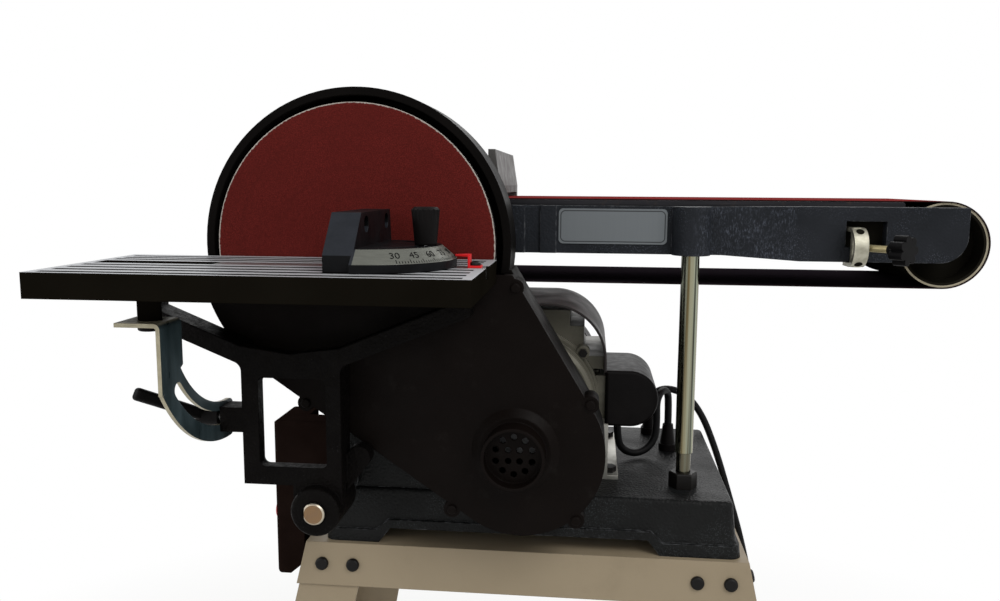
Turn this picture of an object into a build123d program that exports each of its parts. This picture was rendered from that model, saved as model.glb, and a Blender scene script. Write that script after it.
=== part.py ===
from build123d import *
import os
from math import acos, atan2, cos, hypot, pi, radians, sin, tan

# Belt and disc sander on an open stand, in millimetres.
# Every piece is drawn in the spindle's frame: X to the right along the belt arm, Y from the disc's
# sanding face towards the back, Z up, with the origin on the spindle's axis at the sanding face.
# On writing, the pieces move to the part's frame: on the floor, in the middle of the stand.

# Fits
SEAT = 0.02
RUN = 0.05
SLIDE = 0.15
CLEAR = 0.4
EDGE_BREAK = 1.0

# Disc and spindle
DISC_R = 114.3
SHEET_T = 0.8
DISC_T = 12.0
DISC_WEB = 4.0
DISC_HUB_R = 22.0
DISC_HUB_L = 4.0
SPINDLE_R = 10.0
SHOULDER_R = 12.5
BEARING_R = 23.5
BEARING_W = 14.0
BEARING_RACE = 3.8
BEARING_DISH = 1.0
BEARING_FRONT = 6.0
BEARING_BACK = 1.0
BEARING_LEDGE = 4.0
DRUM_NUT_AF = 30.0
DRUM_NUT_H = 9.0

# Pulleys and V-belt
V_TOP = 13.0
V_BOTTOM = 8.0
V_HEIGHT = 8.0
V_EDGE = 2.0
V_ROOM = 0.4
SPINDLE_PULLEY_R = 46.0
MOTOR_PULLEY_R = 30.0
PULLEY_W = 19.0
PULLEY_Y = 29.0

# Guard housing and front cover
GUARD_GAP = 5.7
GUARD_WALL = 6.5
GUARD_FRONT = 4.0
GUARD_DEPTH = 44.0
GUARD_BACK = 4.0
GUARD_SHAFT_ROOM = 4.0
COVER_LIP = 3.5
COVER_FACE = -6.0
COVER_T = 2.5
COVER_TOP = -21.0
COVER_SHOULDER = (127.0, -18.0)
PULLEY_END = (136.0, -167.0)
PULLEY_END_R = 69.0
EAR_R = 7.0
EAR_L = 12.0
EARS = [(131.0, -31.0), (192.0, -124.0), (182.0, -221.0), (80.0, -216.0), (-42.0, -130.0)]
COVER_SCREW_R = 2.0
COVER_SCREW_HEAD_R = 4.0
COVER_SCREW_HEAD_H = 2.4
COVER_SCREW_DOME = 1.4
SPIGOT = (132.0, -164.5)
SPIGOT_R = 25.5
SPIGOT_WALL = 2.5
SPIGOT_L = 24.0
SPIGOT_FLANGE_R = 36.0
SPIGOT_FLANGE_H = 5.0
SPIGOT_COLLAR = 4.0
GRILLE_T = 2.0
GRILLE_DEPTH = 12.0
GRILLE_HOLE_R = 2.6
GRILLE_RINGS = ((6.5, 4), (15.5, 10))

# Pedestal, arm hub and drive drum along the spindle
PEDESTAL_L = 36.0
PEDESTAL_WEB = 14.0
PEDESTAL_RIM = 9.0
PEDESTAL_FOOT_H = 14.0
PEDESTAL_X0 = -36.0
PEDESTAL_X1 = 60.0
TUBE_R = 33.0
ARM_GAP = 2.0
ARM_WEB = 11.0
DRUM_R = 36.8
DRUM_WALL = 6.0
DRUM_L = 150.0
DRUM_WEB = 8.0
DRUM_GAP = 4.0
HUB_R = 45.0
HUB_TOP = 36.0

# Belt and idler
BELT_T = 0.8
BELT_ROOM = 0.3
BELT_W = 152.4
IDLER_X = 493.6
IDLER_WALL = 4.0
IDLER_WEB = 6.0
IDLER_WEB_DEPTH = 22.0
IDLER_HUB_R = 15.0
AXLE_R = 8.0
AXLE_SLEEVE = 2.0
AXLE_HEAD = 3.0

# Motor, foot mounted, shaft height 71
MOTOR_X = 134.0
MOTOR_H = 71.0
MOTOR_SHAFT_R = 9.5
MOTOR_FRAME_R = 66.0
MOTOR_BORE_R = 58.0
STATOR_R = 46.0
ROTOR_GAP = 0.8
BELL_Y = 85.0
BELL_L = 30.0
BELL_R = 64.0
BELL_WALL = 6.0
BELL_STEP = 2.5
BELL_RIM_T = 5.0
BELL_RIM_W = 2.0
BELL_LUG_R = 6.0
BELL_LUG_L = 14.0
BELL_LUG_OUT = 4.2
BELL_LUG_ANGLE = 42.0
BELL_BOLT_R = 2.5
BELL_BOLT_AF = 7.0
BELL_BOLT_HEAD_H = 4.0
REAR_SHIELD_L = 16.0
MOTOR_FINS = 28
MOTOR_FIN_T = 2.4
MOTOR_FIN_H = 4.0
MOTOR_FIN_INSET = 15.0
FOOT_CLEAR_ANGLE = 50.0
STATOR_INSET = 12.0
FAN_COVER_LAP = 8.0
FAN_COVER_BEND = 6.0
FAN_SLOTS = 18
FAN_SLOT_W = 4.0
FAN_SLOT_R0 = 16.0
FAN_SLOT_R1 = 52.0
FAN_GAP = 6.0
FAN_WEB = 2.5
FAN_BLADES = 9
NOSE_R = 24.0
NOSE_L = 22.0
MOTOR_L = 110.0
FAN_COVER_L = 38.0
FAN_COVER_WALL = 2.0
FAN_R = 56.0
FAN_W = 18.0
FAN_HUB_WALL = 6.0
MOTOR_FOOT_W = 170.0
CRADLE_T = 4.0
CRADLE_FRONT = 7.0
CRADLE_BACK = 3.0
CRADLE_WALL_H = 52.0
CRADLE_WALL_W = 150.0
HOOD_HALF = 72.5
HOOD_TOP = 90.6
HOOD_LOW = 28.0
HOOD_CORNER_R = 52.0
HOOD_WALL = 2.2
HOOD_FRONT = 100.0
HOOD_LEDGE_H = 12.0
TERMINAL_HALF = 38.0
TERMINAL_TOP = 83.0
TERMINAL_SIDE_X = 51.0
TERMINAL_SIDE_TOP = 68.0
MOTOR_BOLT_R = 4.0
MOTOR_BOLT_HEAD_AF = 13.0
MOTOR_BOLT_HEAD_H = 5.0
MOTOR_BOLT_INSET = 9.0
CAPACITOR_X0 = 206.0
CAPACITOR_X1 = 255.0
CAPACITOR_Z = -147.5
CAPACITOR_H = 53.0
CAPACITOR_Y0 = 110.0
CAPACITOR_L = 90.0
CAPACITOR_EDGE_R = 3.0
CAPACITOR_PAD_INSET = 6.0

# Base casting
BASE_X0 = -40.0
BASE_X1 = 321.0
BASE_Y0 = 40.0
BASE_Y1 = 277.0
BASE_H = 47.7
BASE_TAPER = 6.0
BASE_WALL = 7.0
BASE_CORNER_R = 10.0
BASE_EDGE_R = 4.0
PAD_X_LEFT = 46.0
PAD_X_RIGHT = 66.0
PAD_Y = 46.0
PAD_H = 14.0
PAD_RIM = 2.5
PAD_RIM_H = 11.0
ARCH_H = 13.0
ARCH_RUN = 11.0
ARCH_RIM_H = 7.5
ARCH_RIM_BACK = 2.0
BASE_BOLT_R = 4.0
BASE_BOLT_HEAD_AF = 13.0
BASE_BOLT_HEAD_H = 5.5
BASE_BOLT_INSET_X = 22.0
BASE_BOLT_INSET_Y = 18.0
BAR_X = -23.5
BAR_Z = -208.5
BAR_R = 9.0
BAR_FRONT = -50.0
BAR_FLAT = 7.4
BAR_BOSS_R = 16.0
BAR_BOSS_Y0 = 85.0
BAR_BOSS_Y1 = 150.0
BAR_COLLAR_R = 13.0
BAR_COLLAR_Y0 = 36.0
POST_X = 276.5
POST_Y = 83.0
POST_R = 7.9
POST_NECK_R = 6.5
POST_NECK_H = 32.0
POST_GRIP = 12.0
POST_ROOM = 1.5
POST_NUT_AF = 22.0
POST_NUT_H = 14.0
POST_SCREW_R = 6.0

# Stand of sheet steel, splayed outwards on its way down
STAND_L = 387.0
STAND_W = 255.0
STAND_H = 620.0
STAND_X = 135.5
STAND_Y = 159.5
SPLAY_X = 0.2053
SPLAY_Y = 0.1763
RAIL_H = 37.0
RAIL_T = 2.0
RAIL_FLANGE = 34.0
LONG_RAIL_FLANGE = 54.0
LEG_T = 2.0
LEG_W = 53.0
BRACE_T = 2.0
BRACE_H = 28.0
BRACE_Z = 130.0
FOOT_H = 24.0
FOOT_SOLE = 9.0
FOOT_WALL = 5.0
FLOOR_HOLE_R = 4.5
FLOOR_HOLE_INSET = 29.0
STAND_BOLT_R = 3.0
STAND_BOLT_HEAD_R = 5.8
STAND_BOLT_HEAD_H = 3.4
STAND_BOLT_DOME = 2.4
STAND_NUT_H = 5.0
STAND_BOLT_INSETS = (19.0, 47.0)

# Belt arm
ARM_TOP = 32.0
ARM_BOTTOM = -10.0
ARM_NECK_X = 120.0
RAMP_X0 = 303.0
RAMP_X1 = 367.0
END_X = 503.0
END_STEP = 11.0
END_TOP = 33.0
END_BOTTOM = -13.5
END_CORNER_R = 22.0
SHELF_T = 8.0
SHELF_X0 = 60.0
SHELF_X1 = 440.0
SHELF_BACK_GAP = 8.0
SHELF_RIB_H = 14.0
SHELF_RIB_T = 8.0
POST_BOSS_R = 16.5
PILASTERS = [(119.6, 131.0), (144.7, 159.0)]
PILASTER_RISE = 2.0
WINDOW_X0 = 404.0
WINDOW_X1 = 437.0
WINDOW_Z0 = -1.0
WINDOW_Z1 = 21.0
PLATEN_X0 = 34.0
PLATEN_X1 = 458.0
PLATEN_BEVEL = 1.5
STOP_X0 = 98.0
STOP_BASE_T = 11.0
STOP_TOP_T = 6.0
STOP_RISE = 4.1
STOP_H = 39.0
STOP_END_T = 10.0
STOP_SLOT_W = 3.0
STOP_SLOT_D = 3.0
STOP_SLOT_H = 7.0
STOP_SLOT_PITCH = 10.0

# Idler slide, its bracket, the tracking yoke and knob
GUIDE_T = 4.0
GUIDE_X0 = 372.0
GUIDE_X1 = 470.0
SLIDE_Z0 = -6.0
SLIDE_Z1 = 21.0
SLIDE_X0 = 378.0
SLIDE_X1 = 448.0
SLIDE_T = 9.0
FORK_BACK = 1.5
FORK_PIN_X = 456.0
FORK_PIN_R = 3.0
FORK_LUG_H = 9.0
FORK_HUB_R = 12.0
YOKE_X0 = 405.5
YOKE_X1 = 417.0
YOKE_Y = 70.0
YOKE_Z = -0.5
YOKE_T = 3.5
YOKE_PIN_R = 4.5
KNOB_TURN = 50.0
KNOB_REACH = 42.0
KNOB_R = 12.5
KNOB_LOBES = 7
KNOB_LOBE_R = 3.6
KNOB_T = 11.0
KNOB_NECK_R = 5.0
KNOB_NECK_L = 6.0
KNOB_SCREW_R = 3.0

# Sanding table, its bracket and sector plate
TABLE_X0 = -186.5
TABLE_X1 = 116.0
TABLE_FRONT = -149.0
TABLE_BACK = -2.5
TABLE_TOP = -9.2
TABLE_T = 8.0
TABLE_RIM_H = 17.9
TABLE_RIM_T = 6.0
TABLE_BEVEL = 5.0
GROOVE_W = 4.0
GROOVE_DEPTH = 2.5
GROOVE_MARGIN = 7.0
GROOVES = [-140.0, -123.0, -106.0, -88.0, -44.0, -30.0, -16.0]
MITER_Y = -66.0
MITER_W = 19.0
MITER_DEPTH = 9.7
MITER_BAR_H = 9.4
MITER_RIB_T = 6.0
HINGE_Y = -17.0
HINGE_Z = -27.0
HINGE_PIN_R = 3.0
HINGE_LUG_R = 6.6
HINGE_LUG_W = 9.0
HINGE_COLUMN_W = 14.0
BRACKET_FRONT = -37.0
BRACKET_T = 11.0
BRACKET_BACK = -12.0
BRACKET_X0 = -84.0
BRACKET_X1 = -3.5
BRACKET_Z0 = -190.0
FRAME_X0 = -70.5
FRAME_X1 = -15.5
FRAME_Z0 = -175.0
FRAME_Z1 = -102.5
FRAME_CORNER_R = 5.0
BRACKET_ROOT_R = 8.0
ARM_LEFT_X = -168.0
ARM_RIGHT_X = 99.0
ARM_SLOPE = 0.41
ARM_H = 15.0
ARM_ROOT_Z = -77.5
ARM_DIP_Z = -83.0
RIGHT_LEG_T = 9.0
CLAMP_R = 20.0
CLAMP_EDGE_R = 3.5
CLAMP_Y0 = -47.0
CLAMP_Y1 = 3.0
CLAMP_SCREW_R = 3.0
BRACKET_EAR = (6.0, -170.0)
BRACKET_EAR_R = 9.5
BRACKET_EAR_LOW = -199.0
BRACKET_EAR_Y0 = -22.0
BRACKET_EAR_Y1 = -8.5
SECTOR_X0 = -106.0
SECTOR_T = 3.0
SECTOR_R_IN = 98.0
SECTOR_R_OUT = 129.0
SECTOR_SLOT_R = 111.0
SECTOR_SLOT_W = 11.0
SECTOR_FROM = -4.0
SECTOR_TO = 57.0
SECTOR_END_R = 8.0
SECTOR_BEND_R = 4.5
SECTOR_SLOT_ROOM = 0.5
TABLE_TILT = 45.0
SECTOR_STRIP_Y0 = -126.0
SECTOR_STRIP_Y1 = -94.0
SECTOR_FLANGE_X = -136.0
SECTOR_TOP = -46.0
SECTOR_BOLT_X = -119.0
SECTOR_BOLT_Y = -108.0
SECTOR_BOSS_R = 8.0
SECTOR_BOLT_R = 3.0
SECTOR_BOLT_HEAD_R = 8.5
SECTOR_BOLT_HEAD_H = 4.5
LOCK_ANGLE = 5.1
LOCK_STUD_R = 4.0
LOCK_STUD_GRIP = 14.0
LOCK_BOSS_W = 20.0
LOCK_HUB_R = 8.0
LOCK_HUB_L = 18.0
LOCK_LEVER_W = 10.0
LOCK_LEVER_T = 8.0
LOCK_LEVER_EDGE_R = 3.0
LOCK_LEVER_REACH = (29.0, 54.0, 30.6)
LOCK_LEVER_ROOT = 5.0

# Miter gauge
MITER_X0 = -88.0
MITER_X1 = 114.0
MITER_PIVOT_X = 31.0
MITER_PIVOT_R = 4.0
HEAD_R = 62.0
HEAD_H = 15.5
HEAD_BEVEL_H = 9.5
HEAD_BEVEL_W = 11.0
FENCE_X0 = 11.0
FENCE_X1 = 32.0
FENCE_H = 39.5
FENCE_NEAR = 55.0
FENCE_FAR = 59.0
FENCE_CROWN_NEAR = 31.0
FENCE_CROWN_FAR = 54.0
FENCE_FOOT_H = 11.5
FENCE_HOLES = (-18.0, 42.0)
FENCE_HOLE_R = 6.0
FENCE_HOLE_DEPTH = 10.0
FENCE_HOLE_Z = 31.0
SWIVEL_SLOT_R = 40.0
SWIVEL_SLOT_W = 7.0
SWIVEL_SPAN = 64.0
MITER_STUD_R = 3.0
MITER_KNOB_R = 10.3
MITER_KNOB_FOOT_R = 8.1
MITER_KNOB_H = 27.0
KNOB_RIBS = 16
KNOB_RIB_R = 1.2
KNOB_RIB_OUT = 0.4
KNOB_RIB_LOW = 4.0
MITER_KNOB_EDGE = 2.0
POINTER_X0 = 92.5
POINTER_X1 = 112.0
POINTER_W = 9.0
POINTER_T = 1.6
POINTER_RISE = 9.6

# Switch box left of the stand, on an arm from the pedestal's side
SWITCH_X0 = -95.0
SWITCH_X1 = -68.0
SWITCH_Y0 = 56.0
SWITCH_Y1 = 106.0
SWITCH_LOW = -309.5
SWITCH_TOP = -163.7
SWITCH_WALL = 3.0
SWITCH_EDGE_R = 5.0
SWITCH_CUT_X = 13.5
SWITCH_CUT_H = 11.5
SWITCH_ARM_D = 24.0
SWITCH_ARM_LOW = -212.0
BUTTON_R = 9.0
BUTTON_PITCH = 40.0
BUTTON_PROUD = 6.0
BUTTON_EDGE_R = 1.5
BUTTON_FLANGE_R = 11.0
BUTTON_FLANGE_T = 2.0

# Cords
CORD_R = 3.7
GLAND_R = 9.0
GLAND_H = 7.0
GLAND_TIP_R = 5.2
GLAND_TAPER = 20.0
GLAND_LIP = 1.5
GLAND_STEM_R = 6.0
GLAND_STEM_L = 12.0
LEAD_GLAND = (272.0, 192.0)
MAINS_GLAND = (257.0, 249.0)
COIL_CENTRE = (354.0, 201.0)
COIL_R = 47.0
COIL_PITCH = 8.2
COIL_TURNS = 3.5
COIL_START = 121.3
COIL_LEAD = 18.0
COIL_SAMPLES = 900
ARC_SHARE = 0.45
TIE_T = 1.2
TIE_W = 8.0
TIE_ROOM = 0.6
TIE_AT = 0.25
PLUG_L = 40.0
PLUG_W = 38.0
PLUG_NECK_L = 38.0
PLUG_NECK_WALL = 0.8
PLUG_NECK_TAPER = 4.0
PLUG_ROUND = 0.8
PLUG_EDGE_R = 2.0
PRONG_L = 19.0
PRONG_R = 2.4
PRONG_TIP_R = 1.4
PRONG_PITCH = 19.0

# Places that follow from the sizes
SPINDLE_H = 219.3
BASE_TOP = -SPINDLE_H
BASE_BOTTOM = BASE_TOP - BASE_H
FLOOR = BASE_BOTTOM - STAND_H
MOTOR_Z = BASE_TOP + MOTOR_H
GUARD_R = DISC_R + GUARD_GAP
GUARD_OUT = GUARD_R + GUARD_WALL
COVER_R = GUARD_OUT + COVER_LIP
GUARD_END = GUARD_FRONT + GUARD_DEPTH
ARM_Y0 = GUARD_END + PEDESTAL_L + ARM_GAP
ARM_Y1 = ARM_Y0 + ARM_WEB
BEARING_YS = (GUARD_END + BEARING_FRONT, ARM_Y1 - BEARING_BACK - BEARING_W)
DRUM_Y0 = ARM_Y1 + DRUM_GAP
DRUM_Y1 = DRUM_Y0 + DRUM_L
BELT_MID = (DRUM_Y0 + DRUM_Y1) / 2
BELT_Y0 = BELT_MID - BELT_W / 2
BELT_Y1 = BELT_MID + BELT_W / 2
BELT_IN = DRUM_R + BELT_ROOM
BELT_OUT = BELT_IN + BELT_T
END_Y0 = ARM_Y0 - END_STEP
END_Y1 = END_Y0 + ARM_WEB
DISC_BACK = SHEET_T + DISC_T
FRAME_Y0 = BELL_Y + BELL_L
FRAME_Y1 = FRAME_Y0 + MOTOR_L


def block(x0, x1, y0, y1, z0, z1):
    """Straight block between two corners."""
    return Pos((x0 + x1) / 2, (y0 + y1) / 2, (z0 + z1) / 2) * Box(x1 - x0, y1 - y0, z1 - z0)


def rod_x(x0, x1, y, z, r):
    """Round bar along X."""
    return Pos((x0 + x1) / 2, y, z) * Rot(0, 90, 0) * Cylinder(r, x1 - x0)


def rod_y(x, y0, y1, z, r):
    """Round bar along Y."""
    return Pos(x, (y0 + y1) / 2, z) * Rot(90, 0, 0) * Cylinder(r, y1 - y0)


def rod_z(x, y, z0, z1, r):
    """Round bar along Z."""
    return Pos(x, y, (z0 + z1) / 2) * Cylinder(r, z1 - z0)


def slab_x(face, x0, x1):
    """Flat outline in Y and Z, given its thickness along X."""
    return extrude(Plane.YZ.offset(x0) * face, amount=x1 - x0)


def slab_y(face, y0, y1):
    """Flat outline in X and Z, given its thickness along Y."""
    return extrude(Plane.XZ.offset(-y1) * face, amount=y1 - y0)


def slab_z(face, z0, z1):
    """Flat outline in X and Y, given its thickness along Z."""
    return extrude(Plane.XY.offset(z0) * face, amount=z1 - z0)


def outline(*points):
    """Straight sided outline."""
    return make_face(Polyline(*points, close=True))


def rounded(radius, *points):
    """Straight sided outline with rounded corners."""
    return make_face(FilletPolyline(*points, radius=radius, close=True))


def turned_y(x, z, *profile):
    """Solid turned about an axis along Y, from (radius, y) points."""
    return Pos(x, 0, z) * revolve(outline(*profile), axis=Axis.Y)


def turned_z(x, y, *profile):
    """Solid turned about an axis along Z, from (radius, z) points."""
    return Pos(x, y, 0) * revolve(Plane.XZ * outline(*profile), axis=Axis.Z)


def hexagon(across_flats):
    """Hexagon by its width across the flats."""
    return RegularPolygon(across_flats / 2, 6, major_radius=False)


def two_circles(c0, r0, c1, r1):
    """Outline that a taut band takes round two circles."""
    return make_hull((Pos(*c0) * Circle(r0) + Pos(*c1) * Circle(r1)).edges())


# Stand

def frustum(inset_x, inset_y, z_low, z_high):
    """Tapering block inside the stand's outer faces, drawn in from them by the given skins."""
    faces = []
    for z in (z_low, z_high):
        drop = BASE_BOTTOM - z
        width = STAND_L + 2 * SPLAY_X * drop - 2 * inset_x * hypot(1, SPLAY_X)
        depth = STAND_W + 2 * SPLAY_Y * drop - 2 * inset_y * hypot(1, SPLAY_Y)
        faces.append(Pos(STAND_X, STAND_Y, z) * Rectangle(width, depth))
    return loft(faces, ruled=True)


LEG_IN = RAIL_T + LEG_T
RAIL_LOW = BASE_BOTTOM - RAIL_H
RAIL_UNDER = BASE_BOTTOM - RAIL_T
LEG_END = FLOOR + FOOT_SOLE
FAR = STAND_L


def stand_bolt_frames(z, insets):
    """Planes on the rails' or braces' outer faces, looking outwards, where the bolts go in."""
    drop = BASE_BOTTOM - z
    half_x = STAND_L / 2 + SPLAY_X * drop
    half_y = STAND_W / 2 + SPLAY_Y * drop
    frames = []
    for inset in insets:
        for side in (-1, 1):
            for end in (-1, 1):
                face_y = Vector(STAND_X + end * (half_x - inset), STAND_Y + side * half_y, z)
                frames.append(Plane(face_y, x_dir=(1, 0, 0), z_dir=(0, side, SPLAY_Y)))
                face_x = Vector(STAND_X + side * half_x, STAND_Y + end * (half_y - inset), z)
                frames.append(Plane(face_x, x_dir=(0, 1, 0), z_dir=(side, 0, SPLAY_X)))
    return frames


RAIL_BOLTS = stand_bolt_frames(BASE_BOTTOM - RAIL_H / 2, STAND_BOLT_INSETS)
BRACE_BOLTS = stand_bolt_frames(FLOOR + BRACE_Z + BRACE_H / 2, (RAIL_T + LEG_W / 2,))


def bolt_holes():
    """Drills for all the stand's bolts."""
    deep = 2 * (LEG_IN + BRACE_T)
    return [f * Cylinder(STAND_BOLT_R + RUN, 2 * deep) for f in RAIL_BOLTS + BRACE_BOLTS]


def dome_bolt(plane, seat, grip):
    """Dome headed bolt whose head sits at the given depth below the plane, with its shank's length."""
    head = Pos(0, 0, seat + STAND_BOLT_HEAD_H / 2) * Cylinder(STAND_BOLT_HEAD_R, STAND_BOLT_HEAD_H)
    head = fillet(head.edges().group_by(Axis.Z)[-1], STAND_BOLT_DOME)
    shank_l = grip + STAND_NUT_H
    shank = Pos(0, 0, seat - shank_l / 2) * Cylinder(STAND_BOLT_R, shank_l)
    return plane * (head + shank)


def stand_nut(plane, depth):
    """Hex nut behind the sheets."""
    nut = extrude(hexagon(2 * STAND_BOLT_HEAD_R), STAND_NUT_H)
    nut -= Cylinder(STAND_BOLT_R + SEAT, 4 * STAND_NUT_H)
    return plane * Pos(0, 0, -depth - STAND_NUT_H) * nut


def stand():
    """Rails, legs, braces, feet and bolts of the stand, by name."""
    holes = bolt_holes()
    nodes = {}
    rim_x = STAND_L / 2 - RAIL_FLANGE
    rim_y = STAND_W / 2 - LONG_RAIL_FLANGE
    mid = block(STAND_X - FAR, STAND_X + FAR, STAND_Y - rim_y, STAND_Y + rim_y, RAIL_LOW, BASE_BOTTOM)
    core = block(STAND_X - rim_x, STAND_X + rim_x, STAND_Y - FAR, STAND_Y + FAR, RAIL_LOW, BASE_BOTTOM)
    web = frustum(0, 0, RAIL_LOW, BASE_BOTTOM)
    flange_holes = base_bolt_rods(BASE_BOLT_R + CLEAR, BASE_BOTTOM - RAIL_H, BASE_BOTTOM + 1)
    long_rails = web - frustum(-FAR, RAIL_T, RAIL_LOW, RAIL_UNDER) - mid - holes - flange_holes
    side_webs = frustum(0, RAIL_T, RAIL_LOW, RAIL_UNDER) - frustum(RAIL_T, -FAR, RAIL_LOW, RAIL_UNDER)
    side_rims = (frustum(0, 0, RAIL_UNDER, BASE_BOTTOM) & mid) - core
    side_rails = side_webs + side_rims - holes
    nodes["stand_rails"] = Compound(long_rails.solids() + side_rails.solids())

    shell = frustum(RAIL_T, RAIL_T, LEG_END, RAIL_UNDER) - frustum(LEG_IN, LEG_IN, LEG_END, RAIL_UNDER)
    shell -= frustum(-FAR, RAIL_T + LEG_W, LEG_END, RAIL_UNDER)
    shell -= frustum(RAIL_T + LEG_W, -FAR, LEG_END, RAIL_UNDER)
    nodes["stand_legs"] = Compound((shell - holes).solids())

    low, high = FLOOR + BRACE_Z, FLOOR + BRACE_Z + BRACE_H
    brace_in = LEG_IN + BRACE_T
    long_braces = frustum(LEG_IN, LEG_IN, low, high) - frustum(-FAR, brace_in, low, high) - holes
    side_braces = frustum(LEG_IN, brace_in + CLEAR, low, high) - frustum(brace_in, -FAR, low, high) - holes
    nodes["stand_braces"] = Compound(long_braces.solids() + side_braces.solids())

    boot = frustum(RAIL_T - FOOT_WALL, RAIL_T - FOOT_WALL, FLOOR, FLOOR + FOOT_H)
    boot -= frustum(LEG_IN + FOOT_WALL, LEG_IN + FOOT_WALL, FLOOR + FOOT_SOLE, FLOOR + FOOT_H)
    boot -= frustum(-FAR, RAIL_T + LEG_W + FOOT_WALL, FLOOR, FLOOR + FOOT_H)
    boot -= frustum(RAIL_T + LEG_W + FOOT_WALL, -FAR, FLOOR, FLOOR + FOOT_H)
    hole_x = STAND_L / 2 + SPLAY_X * STAND_H - FLOOR_HOLE_INSET
    hole_y = STAND_W / 2 + SPLAY_Y * STAND_H - FLOOR_HOLE_INSET
    floor_holes = [
        rod_z(STAND_X + i * hole_x, STAND_Y + j * hole_y, FLOOR - 1, FLOOR + FOOT_H, FLOOR_HOLE_R)
        for i in (-1, 1) for j in (-1, 1)
    ]
    nodes["stand_feet"] = Compound((boot - shell - floor_holes).solids())

    bolts = [dome_bolt(f, 0, LEG_IN) for f in RAIL_BOLTS]
    bolts += [dome_bolt(f, -RAIL_T, LEG_T + BRACE_T) for f in BRACE_BOLTS]
    bolts += [stand_nut(f, LEG_IN) for f in RAIL_BOLTS]
    bolts += [stand_nut(f, LEG_IN + BRACE_T) for f in BRACE_BOLTS]
    nodes["stand_bolts"] = Compound([b.solid() for b in bolts])
    return nodes


# Base casting

BASE_MID_X = (BASE_X0 + BASE_X1) / 2
BASE_MID_Y = (BASE_Y0 + BASE_Y1) / 2


def base_bolt_places():
    """Where the bolts from the stand's flanges go up into the base's corners."""
    return [
        (x, y)
        for x in (BASE_X0 + BASE_BOLT_INSET_X, BASE_X1 - BASE_BOLT_INSET_X)
        for y in (BASE_Y0 + BASE_BOLT_INSET_Y, BASE_Y1 - BASE_BOLT_INSET_Y)
    ]


def base_bolt_rods(r, z0, z1):
    """Upright rods at the base bolts' places."""
    return [rod_z(x, y, z0, z1, r) for x, y in base_bolt_places()]


def base_block(grow, z0, z1):
    """Rounded block of the base's plan, drawn in or out, with its sloping sides."""
    start = (z0 - BASE_BOTTOM) * tan(radians(BASE_TAPER))
    plan = RectangleRounded(
        BASE_X1 - BASE_X0 + 2 * (grow - start), BASE_Y1 - BASE_Y0 + 2 * (grow - start), BASE_CORNER_R
    )
    return extrude(Pos(BASE_MID_X, BASE_MID_Y, z0) * plan, amount=z1 - z0, taper=BASE_TAPER)


def arch(low, high):
    """Outline of an arch between two pads, widest at the bottom."""
    z0, z1 = BASE_BOTTOM - 1, BASE_BOTTOM + ARCH_H
    return outline((low, z0), (low + ARCH_RUN, z1), (high - ARCH_RUN, z1), (high, z0))


def moulding(start, low, high, end):
    """Outline of the raised band along the base's foot, which steps up over the arch."""
    step_0, step_1 = low - ARCH_RIM_BACK, low + ARCH_RUN - ARCH_RIM_BACK
    pad_z, arch_z = BASE_BOTTOM + PAD_RIM_H, BASE_BOTTOM + ARCH_H + ARCH_RIM_H
    return outline(
        (start, BASE_BOTTOM), (start, pad_z), (step_0, pad_z), (step_1, arch_z),
        (low + high - step_1, arch_z), (low + high - step_0, pad_z), (end, pad_z), (end, BASE_BOTTOM)
    )


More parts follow.
